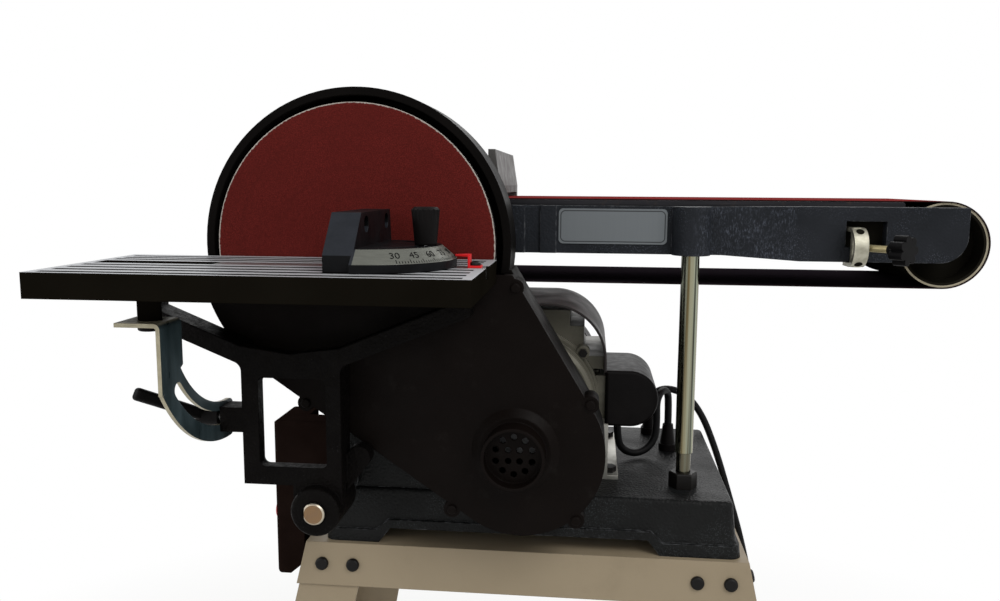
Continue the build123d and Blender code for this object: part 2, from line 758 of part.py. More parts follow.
def machine_base():
    """Hollow cast base, open below, on four corner pads with arches between them."""
    body = base_block(0, BASE_BOTTOM, BASE_TOP)
    body = fillet(body.faces().sort_by(Axis.Z)[-1].edges(), BASE_EDGE_R)
    hollow = base_block(-BASE_WALL, BASE_BOTTOM, BASE_TOP - BASE_WALL)
    x_in, y_in = BASE_X0 - PAD_RIM, BASE_Y0 - PAD_RIM
    x_out, y_out = BASE_X1 + PAD_RIM, BASE_Y1 + PAD_RIM
    arch_x = (BASE_X0 + PAD_X_LEFT, BASE_X1 - PAD_X_RIGHT)
    arch_y = (BASE_Y0 + PAD_Y, BASE_Y1 - PAD_Y)
    band = base_block(PAD_RIM, BASE_BOTTOM, BASE_BOTTOM + ARCH_H + ARCH_RIM_H)
    band_x = slab_y(moulding(x_in, *arch_x, x_out), y_in, y_out)
    band_x -= block(x_in, x_out, BASE_Y0 + BASE_WALL, BASE_Y1 - BASE_WALL, BASE_BOTTOM, BASE_TOP)
    band_y = slab_x(moulding(y_in, *arch_y, y_out), x_in, x_out)
    band_y -= block(BASE_X0 + BASE_WALL, BASE_X1 - BASE_WALL, y_in, y_out, BASE_BOTTOM, BASE_TOP)
    body += band & (band_x + band_y)
    for x0, x1 in ((x_in, BASE_X0 + PAD_X_LEFT), (BASE_X1 - PAD_X_RIGHT, x_out)):
        for y0, y1 in ((y_in, BASE_Y0 + PAD_Y), (BASE_Y1 - PAD_Y, y_out)):
            hollow -= block(x0, x1, y0, y1, BASE_BOTTOM, BASE_BOTTOM + PAD_H)
    body -= hollow
    body -= slab_y(arch(*arch_x), y_in - 1, y_out + 1)
    body -= slab_x(arch(*arch_y), x_in - 1, x_out + 1)
    boss = rod_y(BAR_X, BAR_BOSS_Y0, BAR_BOSS_Y1, BAR_Z, BAR_BOSS_R)
    boss += block(
        BAR_X - BAR_BOSS_R, BAR_X + BAR_BOSS_R, BAR_BOSS_Y0, BAR_BOSS_Y1, BASE_TOP - 2 * BASE_WALL, BAR_Z
    )
    boss += rod_y(BAR_X, BAR_COLLAR_Y0, GUARD_END, BAR_Z, BAR_COLLAR_R)
    body += boss - base_block(-BASE_WALL, BASE_BOTTOM, BASE_TOP - BASE_WALL)
    body -= rod_y(BAR_X, BAR_COLLAR_Y0 - 1, BAR_BOSS_Y1 - BASE_WALL, BAR_Z, BAR_R + SEAT)
    body -= base_bolt_rods(BASE_BOLT_R + RUN, BASE_BOTTOM - 1, BASE_BOTTOM + PAD_H + 1)
    top_holes = [(x, y, MOTOR_BOLT_R) for x, y in motor_bolt_places()]
    top_holes += [(x, y, GLAND_STEM_R) for x, y in (LEAD_GLAND, MAINS_GLAND)]
    top_holes.append((POST_X, POST_Y, POST_SCREW_R))
    return body - [rod_z(x, y, BASE_TOP - 2 * BASE_WALL, BASE_TOP + 1, r + RUN) for x, y, r in top_holes]


def base_bolts():
    """Hex bolts up through the stand's flanges into the base's pads."""
    bolts = []
    head_top = BASE_BOTTOM - RAIL_T
    for x, y in base_bolt_places():
        head = extrude(Pos(x, y, head_top - BASE_BOLT_HEAD_H) * hexagon(BASE_BOLT_HEAD_AF), BASE_BOLT_HEAD_H)
        bolts.append((head + rod_z(x, y, head_top, BASE_BOTTOM + PAD_H - 1, BASE_BOLT_R)).solid())
    return bolts


def post():
    """Bright round post under the belt arm, necked and threaded at its foot, and its nut."""
    neck_top = BASE_TOP + POST_NECK_H
    top = ARM_BOTTOM + POST_GRIP
    shaft = rod_z(POST_X, POST_Y, neck_top, top, POST_R)
    shaft = chamfer(shaft.edges().group_by(Axis.Z)[-1], EDGE_BREAK)
    shaft += rod_z(POST_X, POST_Y, BASE_TOP, neck_top, POST_NECK_R)
    shaft += rod_z(POST_X, POST_Y, BASE_TOP - BASE_WALL, BASE_TOP, POST_SCREW_R)
    nut = extrude(Pos(POST_X, POST_Y, BASE_TOP) * hexagon(POST_NUT_AF), POST_NUT_H)
    nut = chamfer(nut.edges().group_by(Axis.Z)[-1], EDGE_BREAK)
    nut -= rod_z(POST_X, POST_Y, BASE_TOP - 1, BASE_TOP + POST_NUT_H + 1, POST_NECK_R + SEAT)
    return shaft, nut


def table_bar():
    """Round bar under the disc table, with a flat along its left side in front of the base."""
    bar = rod_y(BAR_X, BAR_FRONT, BAR_BOSS_Y1 - BASE_WALL, BAR_Z, BAR_R)
    bar = chamfer(bar.edges().group_by(Axis.Y)[0], EDGE_BREAK)
    flat = block(
        BAR_X - 2 * BAR_R, BAR_X - BAR_FLAT, BAR_FRONT - 1, BAR_COLLAR_Y0 - BAR_R,
        BAR_Z - BAR_R, BAR_Z + BAR_R
    )
    return bar - flat


# Spindle, disc, pulleys and guard

def spindle_shaft():
    """Spindle, with a shoulder between its bearings and a threaded end behind the drum."""
    front = SHEET_T + DISC_WEB
    shaft = rod_y(0, front, DRUM_Y1 + DRUM_NUT_H, 0, SPINDLE_R)
    return shaft + rod_y(0, BEARING_YS[0] + BEARING_W + CLEAR, BEARING_YS[1] - CLEAR, 0, SHOULDER_R)


def drum_nut():
    """Hex nut that holds the drum on the spindle."""
    nut = extrude(Plane.XZ.offset(-DRUM_Y1 - DRUM_NUT_H) * hexagon(DRUM_NUT_AF), DRUM_NUT_H)
    return nut - rod_y(0, DRUM_Y1 - 1, DRUM_Y1 + DRUM_NUT_H + 1, 0, SPINDLE_R + SEAT)


def disc_plate():
    """Turned disc with a hub behind, blind bored for the spindle."""
    hub_back = DISC_BACK + DISC_HUB_L
    bore = SPINDLE_R + SEAT
    return turned_y(
        0, 0, (0, SHEET_T), (DISC_R, SHEET_T), (DISC_R, DISC_BACK), (DISC_HUB_R, DISC_BACK),
        (DISC_HUB_R, hub_back), (bore, hub_back), (bore, SHEET_T + DISC_WEB), (0, SHEET_T + DISC_WEB)
    )


def sanding_disc():
    """Abrasive sheet on the disc's face."""
    return rod_y(0, 0, SHEET_T, 0, DISC_R)


def pulley(x, z, rim_r, bore_r):
    """V-belt pulley with one groove."""
    y0, y1 = PULLEY_Y - PULLEY_W / 2, PULLEY_Y + PULLEY_W / 2
    top, bottom = V_TOP / 2 + V_ROOM, V_BOTTOM / 2 + V_ROOM
    floor_r = rim_r - V_HEIGHT - V_ROOM
    side_r = rim_r - V_EDGE - V_ROOM
    bore = bore_r + SEAT
    return turned_y(
        x, z, (bore, y0), (rim_r, y0), (rim_r, PULLEY_Y - top), (side_r, PULLEY_Y - top),
        (floor_r, PULLEY_Y - bottom), (floor_r, PULLEY_Y + bottom), (side_r, PULLEY_Y + top),
        (rim_r, PULLEY_Y + top), (rim_r, y1), (bore, y1)
    )


def drive_v_belt():
    """Endless V-belt round the two pulleys, its outer side level with their rims."""
    def band(depth, y):
        hull = two_circles((0, 0), SPINDLE_PULLEY_R - depth, (MOTOR_X, MOTOR_Z), MOTOR_PULLEY_R - depth)
        return Plane.XZ.offset(-y) * hull
    half_top, half_bottom = V_TOP / 2, V_BOTTOM / 2
    belt = extrude(band(0, PULLEY_Y + half_top), V_TOP)
    belt -= extrude(band(V_HEIGHT, PULLEY_Y + half_bottom), V_BOTTOM)
    for side in (-1, 1):
        outer = band(V_EDGE, PULLEY_Y + side * half_top)
        inner = band(V_HEIGHT, PULLEY_Y + side * half_bottom)
        belt -= loft([outer, inner], ruled=True)
    return belt


def bearing(y):
    """Ball bearing on the spindle, its shields set in a little on both sides."""
    r0, r1 = SPINDLE_R + RUN / 2, BEARING_R
    in_r, out_r = r0 + BEARING_RACE, r1 - BEARING_RACE
    y1 = y + BEARING_W
    dish_0, dish_1 = y + BEARING_DISH, y1 - BEARING_DISH
    return turned_y(
        0, 0, (r0, y), (in_r, y), (in_r, dish_0), (out_r, dish_0), (out_r, y), (r1, y),
        (r1, y1), (out_r, y1), (out_r, dish_1), (in_r, dish_1), (in_r, y1), (r0, y1)
    )


def cover_face(grow):
    """Outline of the guard round the disc and the pulley end, drawn in or out."""
    ex, ez = PULLEY_END
    end_r, disc_r = PULLEY_END_R + grow, COVER_R + grow
    left = atan2(ez, ex) - acos((COVER_R - PULLEY_END_R) / hypot(ex, ez))
    sx, sz = COVER_SHOULDER
    right = atan2(ez - sz, ex - sx) - acos(PULLEY_END_R / hypot(ex - sx, ez - sz)) + pi
    band = outline(
        (0, 0), (sx + grow * cos(right), sz + grow * sin(right)),
        (ex + end_r * cos(right), ez + end_r * sin(right)), (ex, ez),
        (ex + end_r * cos(left), ez + end_r * sin(left)), (disc_r * cos(left), disc_r * sin(left))
    )
    far = 2 * disc_r
    lower = Circle(disc_r) & outline((-far, COVER_TOP), (far, COVER_TOP), (far, -far), (-far, -far))
    return lower + band + Pos(ex, ez) * Circle(end_r)


def guard_face(grow):
    """Outline of the guard housing: a ring round the disc above, the cover's outline below."""
    return Circle(GUARD_OUT + grow) + cover_face(grow)


def ears(y0, y1):
    """Screw ears of the guard and its cover."""
    return [rod_y(x, y0, y1, z, EAR_R) for x, z in EARS]


def ear_holes(y0, y1):
    """Screw holes through the ears."""
    return [rod_y(x, y0, y1, z, COVER_SCREW_R + RUN) for x, z in EARS]


def guard_housing():
    """Guard behind the disc and the pulleys, open to the front, its back stepped in before the base."""
    shell = slab_y(guard_face(0), GUARD_FRONT, GUARD_END)
    shell += ears(GUARD_FRONT, GUARD_FRONT + EAR_L)
    step_y, step_z = BASE_Y0 - CLEAR, BASE_TOP + CLEAR
    far = 3 * COVER_R
    room = slab_y(Circle(GUARD_R) + cover_face(-GUARD_WALL), GUARD_FRONT - 1, GUARD_END - GUARD_BACK)
    room -= block(-far, far, step_y - GUARD_BACK, GUARD_END, -far, step_z + GUARD_BACK)
    shell -= block(-far, far, step_y, GUARD_END + 1, -far, step_z)
    shell -= room
    shell -= rod_y(0, GUARD_END - 2 * GUARD_BACK, GUARD_END + 1, 0, BEARING_R + CLEAR)
    shaft_r = MOTOR_SHAFT_R + GUARD_SHAFT_ROOM
    shell -= rod_y(MOTOR_X, GUARD_END - 2 * GUARD_BACK, GUARD_END + 1, MOTOR_Z, shaft_r)
    return shell - ear_holes(GUARD_FRONT - 1, GUARD_FRONT + EAR_L + 1)


def front_cover():
    """Cover over the lower half of the disc and the pulleys, with the dust spigot and its grille."""
    below = block(-2 * COVER_R, 2 * COVER_R, COVER_FACE - 1, GUARD_FRONT + 1, -3 * COVER_R, COVER_TOP)
    cover = slab_y(cover_face(0), COVER_FACE, GUARD_FRONT)
    cover += ears(COVER_FACE, GUARD_FRONT)
    cover &= below
    cover -= slab_y(cover_face(-GUARD_WALL), COVER_FACE + COVER_T, GUARD_FRONT + 1)
    x, z = SPIGOT
    rim_y, flange_y = COVER_FACE - SPIGOT_L, COVER_FACE - SPIGOT_FLANGE_H
    cover += turned_y(
        x, z, (0, COVER_FACE), (SPIGOT_FLANGE_R, COVER_FACE), (SPIGOT_R + SPIGOT_COLLAR, flange_y),
        (SPIGOT_R, flange_y), (SPIGOT_R, rim_y), (0, rim_y)
    )
    cover -= rod_y(x, rim_y - 1, rim_y + GRILLE_DEPTH, z, SPIGOT_R - SPIGOT_WALL)
    cover -= rod_y(x, rim_y + GRILLE_DEPTH + GRILLE_T, COVER_FACE + COVER_T + 1, z, SPIGOT_R - SPIGOT_WALL)
    for ring_r, count in GRILLE_RINGS:
        for i in range(count):
            turn = 2 * pi * (i + 0.5) / count
            hole_x, hole_z = x + ring_r * cos(turn), z + ring_r * sin(turn)
            cover -= rod_y(hole_x, rim_y, COVER_FACE + COVER_T + 1, hole_z, GRILLE_HOLE_R)
    return cover - ear_holes(COVER_FACE - 1, GUARD_FRONT + 1)


def cover_screws():
    """Pan head screws through the cover's ears into the guard's."""
    screws = []
    for x, z in EARS:
        head = rod_y(x, COVER_FACE - COVER_SCREW_HEAD_H, COVER_FACE, z, COVER_SCREW_HEAD_R)
        head = fillet(head.edges().group_by(Axis.Y)[0], COVER_SCREW_DOME)
        shank = rod_y(x, COVER_FACE, GUARD_FRONT + EAR_L - 1, z, COVER_SCREW_R)
        screws.append((head + shank).solid())
    return Compound(screws)


def spindle_pedestal():
    """Cast pedestal on the base, plain in front, with the bearing tube on which the belt arm also turns."""
    y0, y1 = GUARD_END, GUARD_END + PEDESTAL_L
    foot = outline(
        (PEDESTAL_X0, BASE_TOP), (PEDESTAL_X1, BASE_TOP), (PEDESTAL_X1, BASE_TOP + PEDESTAL_FOOT_H),
        (PEDESTAL_X0, BASE_TOP + PEDESTAL_FOOT_H)
    )
    side = make_hull(Circle(TUBE_R).edges() + foot.edges())
    body = slab_y(side, y0, y1)
    pocket = offset(side, -PEDESTAL_RIM) - Circle(TUBE_R) - offset(foot, 1)
    body -= slab_y(pocket, y0 + PEDESTAL_WEB, y1 + 1)
    bar_boss = rod_y(BAR_X, y0, y1, BAR_Z, BAR_BOSS_R)
    body += bar_boss & slab_y(side, y0, y1)
    body -= rod_y(BAR_X, y0 - 1, y1 + 1, BAR_Z, BAR_R + SEAT)
    body += rod_y(0, y0, ARM_Y1, 0, TUBE_R)
    body -= rod_y(0, y0 - 1, ARM_Y1 + 1, 0, BEARING_R - BEARING_LEDGE)
    body -= rod_y(0, y0 - 1, BEARING_YS[0] + BEARING_W, 0, BEARING_R + SEAT)
    body -= rod_y(0, BEARING_YS[1], ARM_Y1 + 1, 0, BEARING_R + SEAT)
    return body


def drive_drum():
    """Hollow drum behind the arm, carried on the spindle by two webs."""
    bore_r = DRUM_R - DRUM_WALL
    tube = turned_y(0, 0, (bore_r, DRUM_Y0), (DRUM_R, DRUM_Y0), (DRUM_R, DRUM_Y1), (bore_r, DRUM_Y1))
    for y in (DRUM_Y0, DRUM_Y1 - DRUM_WEB):
        tube += rod_y(0, y, y + DRUM_WEB, 0, DRUM_R - DRUM_WALL / 2)
    hub = rod_y(0, DRUM_Y0, DRUM_Y1, 0, SPINDLE_R + DRUM_WALL)
    return tube + hub - rod_y(0, DRUM_Y0 - 1, DRUM_Y1 + 1, 0, SPINDLE_R + SEAT)


# Motor

CRADLE_YS = (BELL_Y + CRADLE_FRONT, FRAME_Y1 + CRADLE_BACK)


def motor_bolt_places():
    """Where the motor cradle is bolted to the base."""
    half = MOTOR_FOOT_W / 2 - MOTOR_BOLT_INSET
    y0, y1 = CRADLE_YS[0] + CRADLE_T + MOTOR_BOLT_INSET, CRADLE_YS[1] - MOTOR_BOLT_INSET
    return [(MOTOR_X + side * half, y) for side in (-1, 1) for y in (y0, y1)]


def motor_cradle():
    """Bent steel cradle: a foot plate and two end walls cut out round the motor's bells."""
    x0, x1 = MOTOR_X - MOTOR_FOOT_W / 2, MOTOR_X + MOTOR_FOOT_W / 2
    cradle = block(x0, x1, CRADLE_YS[0], CRADLE_YS[1] + CRADLE_T, BASE_TOP, BASE_TOP + CRADLE_T)
    for y in CRADLE_YS:
        cradle += block(
            MOTOR_X - CRADLE_WALL_W / 2, MOTOR_X + CRADLE_WALL_W / 2, y, y + CRADLE_T, BASE_TOP,
            BASE_TOP + CRADLE_WALL_H
        )
    cradle -= rod_y(MOTOR_X, BELL_Y, FRAME_Y1 + BELL_L, MOTOR_Z, BELL_R + SEAT)
    z0, z1 = BASE_TOP - 1, BASE_TOP + 2 * CRADLE_T
    return cradle - [rod_z(x, y, z0, z1, MOTOR_BOLT_R + RUN) for x, y in motor_bolt_places()]


def motor_bolts():
    """Hex bolts through the cradle into the base."""
    bolts = []
    seat = BASE_TOP + CRADLE_T
    for x, y in motor_bolt_places():
        head = extrude(Pos(x, y, seat) * hexagon(MOTOR_BOLT_HEAD_AF), MOTOR_BOLT_HEAD_H)
        bolts.append((head + rod_z(x, y, BASE_TOP - BASE_WALL + 1, seat, MOTOR_BOLT_R)).solid())
    return bolts


def from_motor(x0, x1, y0, y1, z0, z1):
    """Straight block whose corners are given from the motor's axis in X and Z."""
    return block(MOTOR_X + x0, MOTOR_X + x1, y0, y1, MOTOR_Z + z0, MOTOR_Z + z1)


def motor_body():
    """Cast motor frame with fins, a terminal housing and ledges for the hood, and the rear shield."""
    frame = rod_y(MOTOR_X, FRAME_Y0, FRAME_Y1, MOTOR_Z, MOTOR_FRAME_R)
    fin_r = MOTOR_FRAME_R + MOTOR_FIN_H
    back = FRAME_Y1 - HOOD_WALL
    for i in range(MOTOR_FINS):
        turn = 360 * (i + 0.5) / MOTOR_FINS
        if abs(turn - 270) < FOOT_CLEAR_ANGLE:
            continue
        fin = block(0, fin_r, FRAME_Y0 + MOTOR_FIN_INSET, back, -MOTOR_FIN_T / 2, MOTOR_FIN_T / 2)
        frame += Pos(MOTOR_X, 0, MOTOR_Z) * Rot(0, -turn, 0) * fin
    frame &= rod_y(MOTOR_X, FRAME_Y0, FRAME_Y1, MOTOR_Z, fin_r)
    ledge = HOOD_HALF - HOOD_WALL - SEAT
    frame += from_motor(-ledge, ledge, FRAME_Y0, back, HOOD_LOW, HOOD_LOW + HOOD_LEDGE_H)
    frame += from_motor(-TERMINAL_HALF, TERMINAL_HALF, FRAME_Y0, back, 0, TERMINAL_TOP)
    frame += from_motor(-TERMINAL_SIDE_X, TERMINAL_SIDE_X, FRAME_Y0, back, 0, TERMINAL_SIDE_TOP)
    pad_y0, pad_y1 = CAPACITOR_Y0 + CAPACITOR_PAD_INSET, CAPACITOR_Y0 + CAPACITOR_L - CAPACITOR_PAD_INSET
    pad_h = CAPACITOR_H / 2 - CAPACITOR_PAD_INSET
    frame += block(MOTOR_X, CAPACITOR_X0, pad_y0, pad_y1, CAPACITOR_Z - pad_h, CAPACITOR_Z + pad_h)
    frame -= rod_y(MOTOR_X, FRAME_Y0 - 1, FRAME_Y1 - BELL_WALL, MOTOR_Z, MOTOR_BORE_R)
    frame += rod_y(MOTOR_X, FRAME_Y1 - BELL_WALL, FRAME_Y1 + REAR_SHIELD_L, MOTOR_Z, BELL_R)
    return frame - rod_y(MOTOR_X, FRAME_Y0 - 1, FRAME_Y1 + BELL_L, MOTOR_Z, MOTOR_SHAFT_R + RUN)


def motor_stator():
    """Wound iron ring in the motor frame."""
    y0, y1 = FRAME_Y0 + STATOR_INSET, FRAME_Y1 - BELL_WALL - STATOR_INSET
    ring = rod_y(MOTOR_X, y0, y1, MOTOR_Z, MOTOR_BORE_R - SEAT)
    return ring - rod_y(MOTOR_X, y0 - 1, y1 + 1, MOTOR_Z, STATOR_R)


def bell_lug_places():
    """Middles of the front bell's bolt lugs, in X and Z."""
    reach = BELL_R + BELL_LUG_OUT
    dx, dz = reach * cos(radians(BELL_LUG_ANGLE)), reach * sin(radians(BELL_LUG_ANGLE))
    return [(MOTOR_X + i * dx, MOTOR_Z + j * dz) for i in (-1, 1) for j in (-1, 1)]


def motor_front_bell():
    """Die cast front shield: a rimmed bell with a bearing nose and four bolt lugs."""
    rim_y = FRAME_Y0 - BELL_RIM_T
    nose_y = BELL_Y - NOSE_L
    step_r, rim_r = BELL_R - BELL_STEP, BELL_R + BELL_RIM_W
    inside = BELL_Y + BELL_WALL
    bell = turned_y(
        MOTOR_X, MOTOR_Z, (0, nose_y), (NOSE_R, nose_y), (NOSE_R, BELL_Y), (BELL_R - BELL_WALL, BELL_Y),
        (step_r, BELL_Y + BELL_STEP), (step_r, inside), (BELL_R, inside), (BELL_R, rim_y), (rim_r, rim_y),
        (rim_r, FRAME_Y0), (MOTOR_BORE_R, FRAME_Y0), (MOTOR_BORE_R, inside), (0, inside)
    )
    for x, z in bell_lug_places():
        bell += rod_y(x, FRAME_Y0 - BELL_LUG_L, FRAME_Y0, z, BELL_LUG_R)
    bell -= rod_y(MOTOR_X, inside, FRAME_Y0 + 1, MOTOR_Z, MOTOR_BORE_R)
    for x, z in bell_lug_places():
        bell -= rod_y(x, FRAME_Y0 - BELL_LUG_L - 1, FRAME_Y0 - 2, z, BELL_BOLT_R + RUN)
    return bell - rod_y(MOTOR_X, nose_y - 1, FRAME_Y0, MOTOR_Z, MOTOR_SHAFT_R + RUN)


def bell_bolts():
    """Hex bolts in the front bell's lugs."""
    bolts = []
    seat = FRAME_Y0 - BELL_LUG_L
    for x, z in bell_lug_places():
        head = Pos(x, seat, z) * extrude(Plane.XZ * hexagon(BELL_BOLT_AF), BELL_BOLT_HEAD_H)
        bolts.append((head + rod_y(x, seat, FRAME_Y0 - 3, z, BELL_BOLT_R)).solid())
    return bolts


def hood_face(grow):
    """Outline of the motor's hood, rounded at its two upper corners, drawn in or out."""
    half, top = HOOD_HALF + grow, HOOD_TOP + grow
    r = HOOD_CORNER_R + grow
    corner_x, corner_z = half - r, top - r
    face = outline((-half, HOOD_LOW), (half, HOOD_LOW), (half, corner_z), (-half, corner_z))
    face += outline((-corner_x, HOOD_LOW), (corner_x, HOOD_LOW), (corner_x, top), (-corner_x, top))
    for side in (-1, 1):
        face += Pos(side * corner_x, corner_z) * (Circle(r) & Pos(0, r) * Rectangle(2 * r, 2 * r))
    return Pos(MOTOR_X, MOTOR_Z) * face


def motor_shroud():
    """Sheet hood over the motor's terminals, rounded above, open below and in front."""
    y1 = FRAME_Y1 - HOOD_WALL
    return slab_y(hood_face(0), HOOD_FRONT, y1) - slab_y(hood_face(-HOOD_WALL), HOOD_FRONT - 1, y1 + 1)


def motor_fan_cover():
    """Pressed cup over the fan, slotted at the back."""
    y0, y1 = FRAME_Y1 + REAR_SHIELD_L - FAN_COVER_LAP, FRAME_Y1 + REAR_SHIELD_L + FAN_COVER_L
    r_in = BELL_R + SEAT
    r_out = r_in + FAN_COVER_WALL
    cup = rod_y(MOTOR_X, y0, y1, MOTOR_Z, r_out)
    cup = fillet(cup.edges().group_by(Axis.Y)[-1], FAN_COVER_BEND)
    cup -= rod_y(MOTOR_X, y0 - 1, y1 - FAN_COVER_WALL, MOTOR_Z, r_in)
    for i in range(FAN_SLOTS):
        turn = 360 * i / FAN_SLOTS
        slot = block(
            FAN_SLOT_R0, FAN_SLOT_R1, y1 - 2 * FAN_COVER_WALL, y1 + 1, -FAN_SLOT_W / 2, FAN_SLOT_W / 2
        )
        cup -= Pos(MOTOR_X, 0, MOTOR_Z) * Rot(0, turn, 0) * slot
    return cup


def motor_shaft():
    """Motor shaft with its rotor core."""
    y0 = PULLEY_Y - PULLEY_W / 2
    y1 = FRAME_Y1 + REAR_SHIELD_L + FAN_GAP + FAN_W
    shaft = rod_y(MOTOR_X, y0, y1, MOTOR_Z, MOTOR_SHAFT_R)
    core_y0, core_y1 = FRAME_Y0 + STATOR_INSET, FRAME_Y1 - BELL_WALL - STATOR_INSET
    return shaft + rod_y(MOTOR_X, core_y0, core_y1, MOTOR_Z, STATOR_R - ROTOR_GAP)


def motor_fan():
    """Radial fan on the back of the motor shaft."""
    y0 = FRAME_Y1 + REAR_SHIELD_L + FAN_GAP
    fan = rod_y(MOTOR_X, y0, y0 + FAN_WEB, MOTOR_Z, FAN_R)
    fan += rod_y(MOTOR_X, y0, y0 + FAN_W, MOTOR_Z, MOTOR_SHAFT_R + FAN_HUB_WALL)
    root = MOTOR_SHAFT_R + FAN_HUB_WALL / 2
    for i in range(FAN_BLADES):
        blade = block(root, FAN_R, y0, y0 + FAN_W, -FAN_WEB / 2, FAN_WEB / 2)
        fan += Pos(MOTOR_X, 0, MOTOR_Z) * Rot(0, 360 * i / FAN_BLADES, 0) * blade
    return fan - rod_y(MOTOR_X, y0 - 1, y0 + FAN_W + 1, MOTOR_Z, MOTOR_SHAFT_R + SEAT)


def capacitor_box():
    """Capacitor and terminal box beside the motor, round at its outer end."""
    r = CAPACITOR_H / 2
    end = CAPACITOR_X1 - r
    low, high = CAPACITOR_Z - r, CAPACITOR_Z + r
    side = outline((CAPACITOR_X0, low), (end, low), (end, high), (CAPACITOR_X0, high))
    side += Pos(end, CAPACITOR_Z) * Circle(r)
    side &= outline((CAPACITOR_X0, low), (CAPACITOR_X1, low), (CAPACITOR_X1, high), (CAPACITOR_X0, high))
    box = slab_y(side, CAPACITOR_Y0, CAPACITOR_Y0 + CAPACITOR_L)
    return fillet(box.edges().group_by(Axis.Y)[0], CAPACITOR_EDGE_R)


# Belt arm and what it carries

def arm_face():
    """Side view of the arm: hub, neck, beam and end plate."""
    beam = outline(
        (0, ARM_TOP), (RAMP_X0, ARM_TOP), (RAMP_X1, END_TOP), (END_X, END_TOP), (END_X, END_BOTTOM),
        (RAMP_X1, END_BOTTOM), (RAMP_X0, ARM_BOTTOM), (ARM_NECK_X, ARM_BOTTOM), (0, -HUB_R)
    )
    beam = fillet(beam.vertices().sort_by_distance((END_X, END_BOTTOM))[0], END_CORNER_R)
    below = outline((-HUB_R, HUB_TOP), (HUB_R, HUB_TOP), (HUB_R, -HUB_R), (-HUB_R, -HUB_R))
    return beam + (Circle(HUB_R) & below)


def belt_arm():
    """Cast arm beside the belt, from its hub on the bearing tube to the plate before the idler."""
    plan = outline(
        (-HUB_R, ARM_Y0), (RAMP_X0, ARM_Y0), (RAMP_X1, END_Y0), (END_X, END_Y0), (END_X, END_Y1),
        (RAMP_X1, END_Y1), (RAMP_X0, ARM_Y1), (-HUB_R, ARM_Y1)
    )
    arm = slab_z(plan, -2 * HUB_R, 2 * HUB_R) & slab_y(arm_face(), END_Y0 - 1, ARM_Y1 + 1)
    boss = rod_z(POST_X, POST_Y, ARM_BOTTOM, ARM_TOP, POST_BOSS_R)
    arm += boss & block(POST_X - HUB_R, POST_X + HUB_R, POST_Y - HUB_R, ARM_Y1, ARM_BOTTOM, ARM_TOP)
    for x0, x1 in PILASTERS:
        arm += block(x0, x1, ARM_Y0 - PILASTER_RISE, ARM_Y1, ARM_BOTTOM, ARM_TOP)
    shelf_z = ARM_TOP - SHELF_T
    shelf_back = BELT_Y1 - SHELF_BACK_GAP
    arm += block(SHELF_X0, SHELF_X1, ARM_Y1 - 1, shelf_back, shelf_z, ARM_TOP)
    arm += block(RAMP_X1, SHELF_X1, END_Y1 - 1, ARM_Y1, shelf_z, ARM_TOP)
    arm += block(SHELF_X0, SHELF_X1, shelf_back - SHELF_RIB_T, shelf_back, shelf_z - SHELF_RIB_H, ARM_TOP)
    guide_back = END_Y1 + SLIDE_T
    arm += block(GUIDE_X0, GUIDE_X1, END_Y1 - 1, guide_back, SLIDE_Z1 + SLIDE, SLIDE_Z1 + SLIDE + GUIDE_T)
    arm += block(GUIDE_X0, GUIDE_X1, END_Y1 - 1, guide_back, SLIDE_Z0 - SLIDE - GUIDE_T, SLIDE_Z0 - SLIDE)
    arm -= rod_y(0, ARM_Y0 - 1, ARM_Y1 + 1, 0, TUBE_R + RUN)
    arm -= rod_z(POST_X, POST_Y, ARM_BOTTOM - 1, ARM_BOTTOM + POST_GRIP, POST_R + POST_ROOM)
    arm -= block(WINDOW_X0, WINDOW_X1, END_Y0 - 1, END_Y1 + 1, WINDOW_Z0, WINDOW_Z1)
    return arm


def platen():
    """Flat steel platen under the belt's upper run."""
    plate = block(PLATEN_X0, PLATEN_X1, ARM_Y1, BELT_Y1 - SHELF_BACK_GAP, ARM_TOP, DRUM_R)
    edges = plate.edges().filter_by(Axis.Y).group_by(Axis.Z)[-1]
    return chamfer(edges, PLATEN_BEVEL)


def sanding_belt():
    """Endless abrasive belt round the drum and the idler."""
    loop = two_circles((0, 0), BELT_OUT, (IDLER_X, 0), BELT_OUT)
    loop -= two_circles((0, 0), BELT_IN, (IDLER_X, 0), BELT_IN)
    return slab_y(loop, BELT_Y0, BELT_Y1)


def work_stop():
    """Fence across the belt, with a comb of slots low on its working side and a leg behind the belt."""
    z0 = BELT_OUT + STOP_RISE
    z1 = z0 + STOP_H
    x1 = STOP_X0 + STOP_BASE_T
    back_leg = BELT_Y1 + CLEAR
    y1 = back_leg + STOP_END_T
    side = outline((STOP_X0, z0), (x1, z0), (x1, z0 + STOP_SLOT_H), (STOP_X0 + STOP_TOP_T, z1), (STOP_X0, z1))
    stop = slab_y(side, ARM_Y0, y1)
    stop += block(STOP_X0, x1, ARM_Y0, ARM_Y1, ARM_TOP, z0 + 1)
    rib_z = ARM_TOP - SHELF_T - SHELF_RIB_H
    stop += block(STOP_X0, x1, back_leg, y1, rib_z, z0 + 1)
    stop += block(STOP_X0, x1, BELT_Y1 - SHELF_BACK_GAP, y1, rib_z, rib_z + STOP_BASE_T)
    slots = int((BELT_Y1 - BELT_Y0) / STOP_SLOT_PITCH)
    for i in range(slots):
        y = BELT_Y0 + (i + 0.5) * STOP_SLOT_PITCH
        stop -= block(x1 - STOP_SLOT_D, x1 + 1, y, y + STOP_SLOT_W, z0 - 1, z0 + STOP_SLOT_H)
    return stop


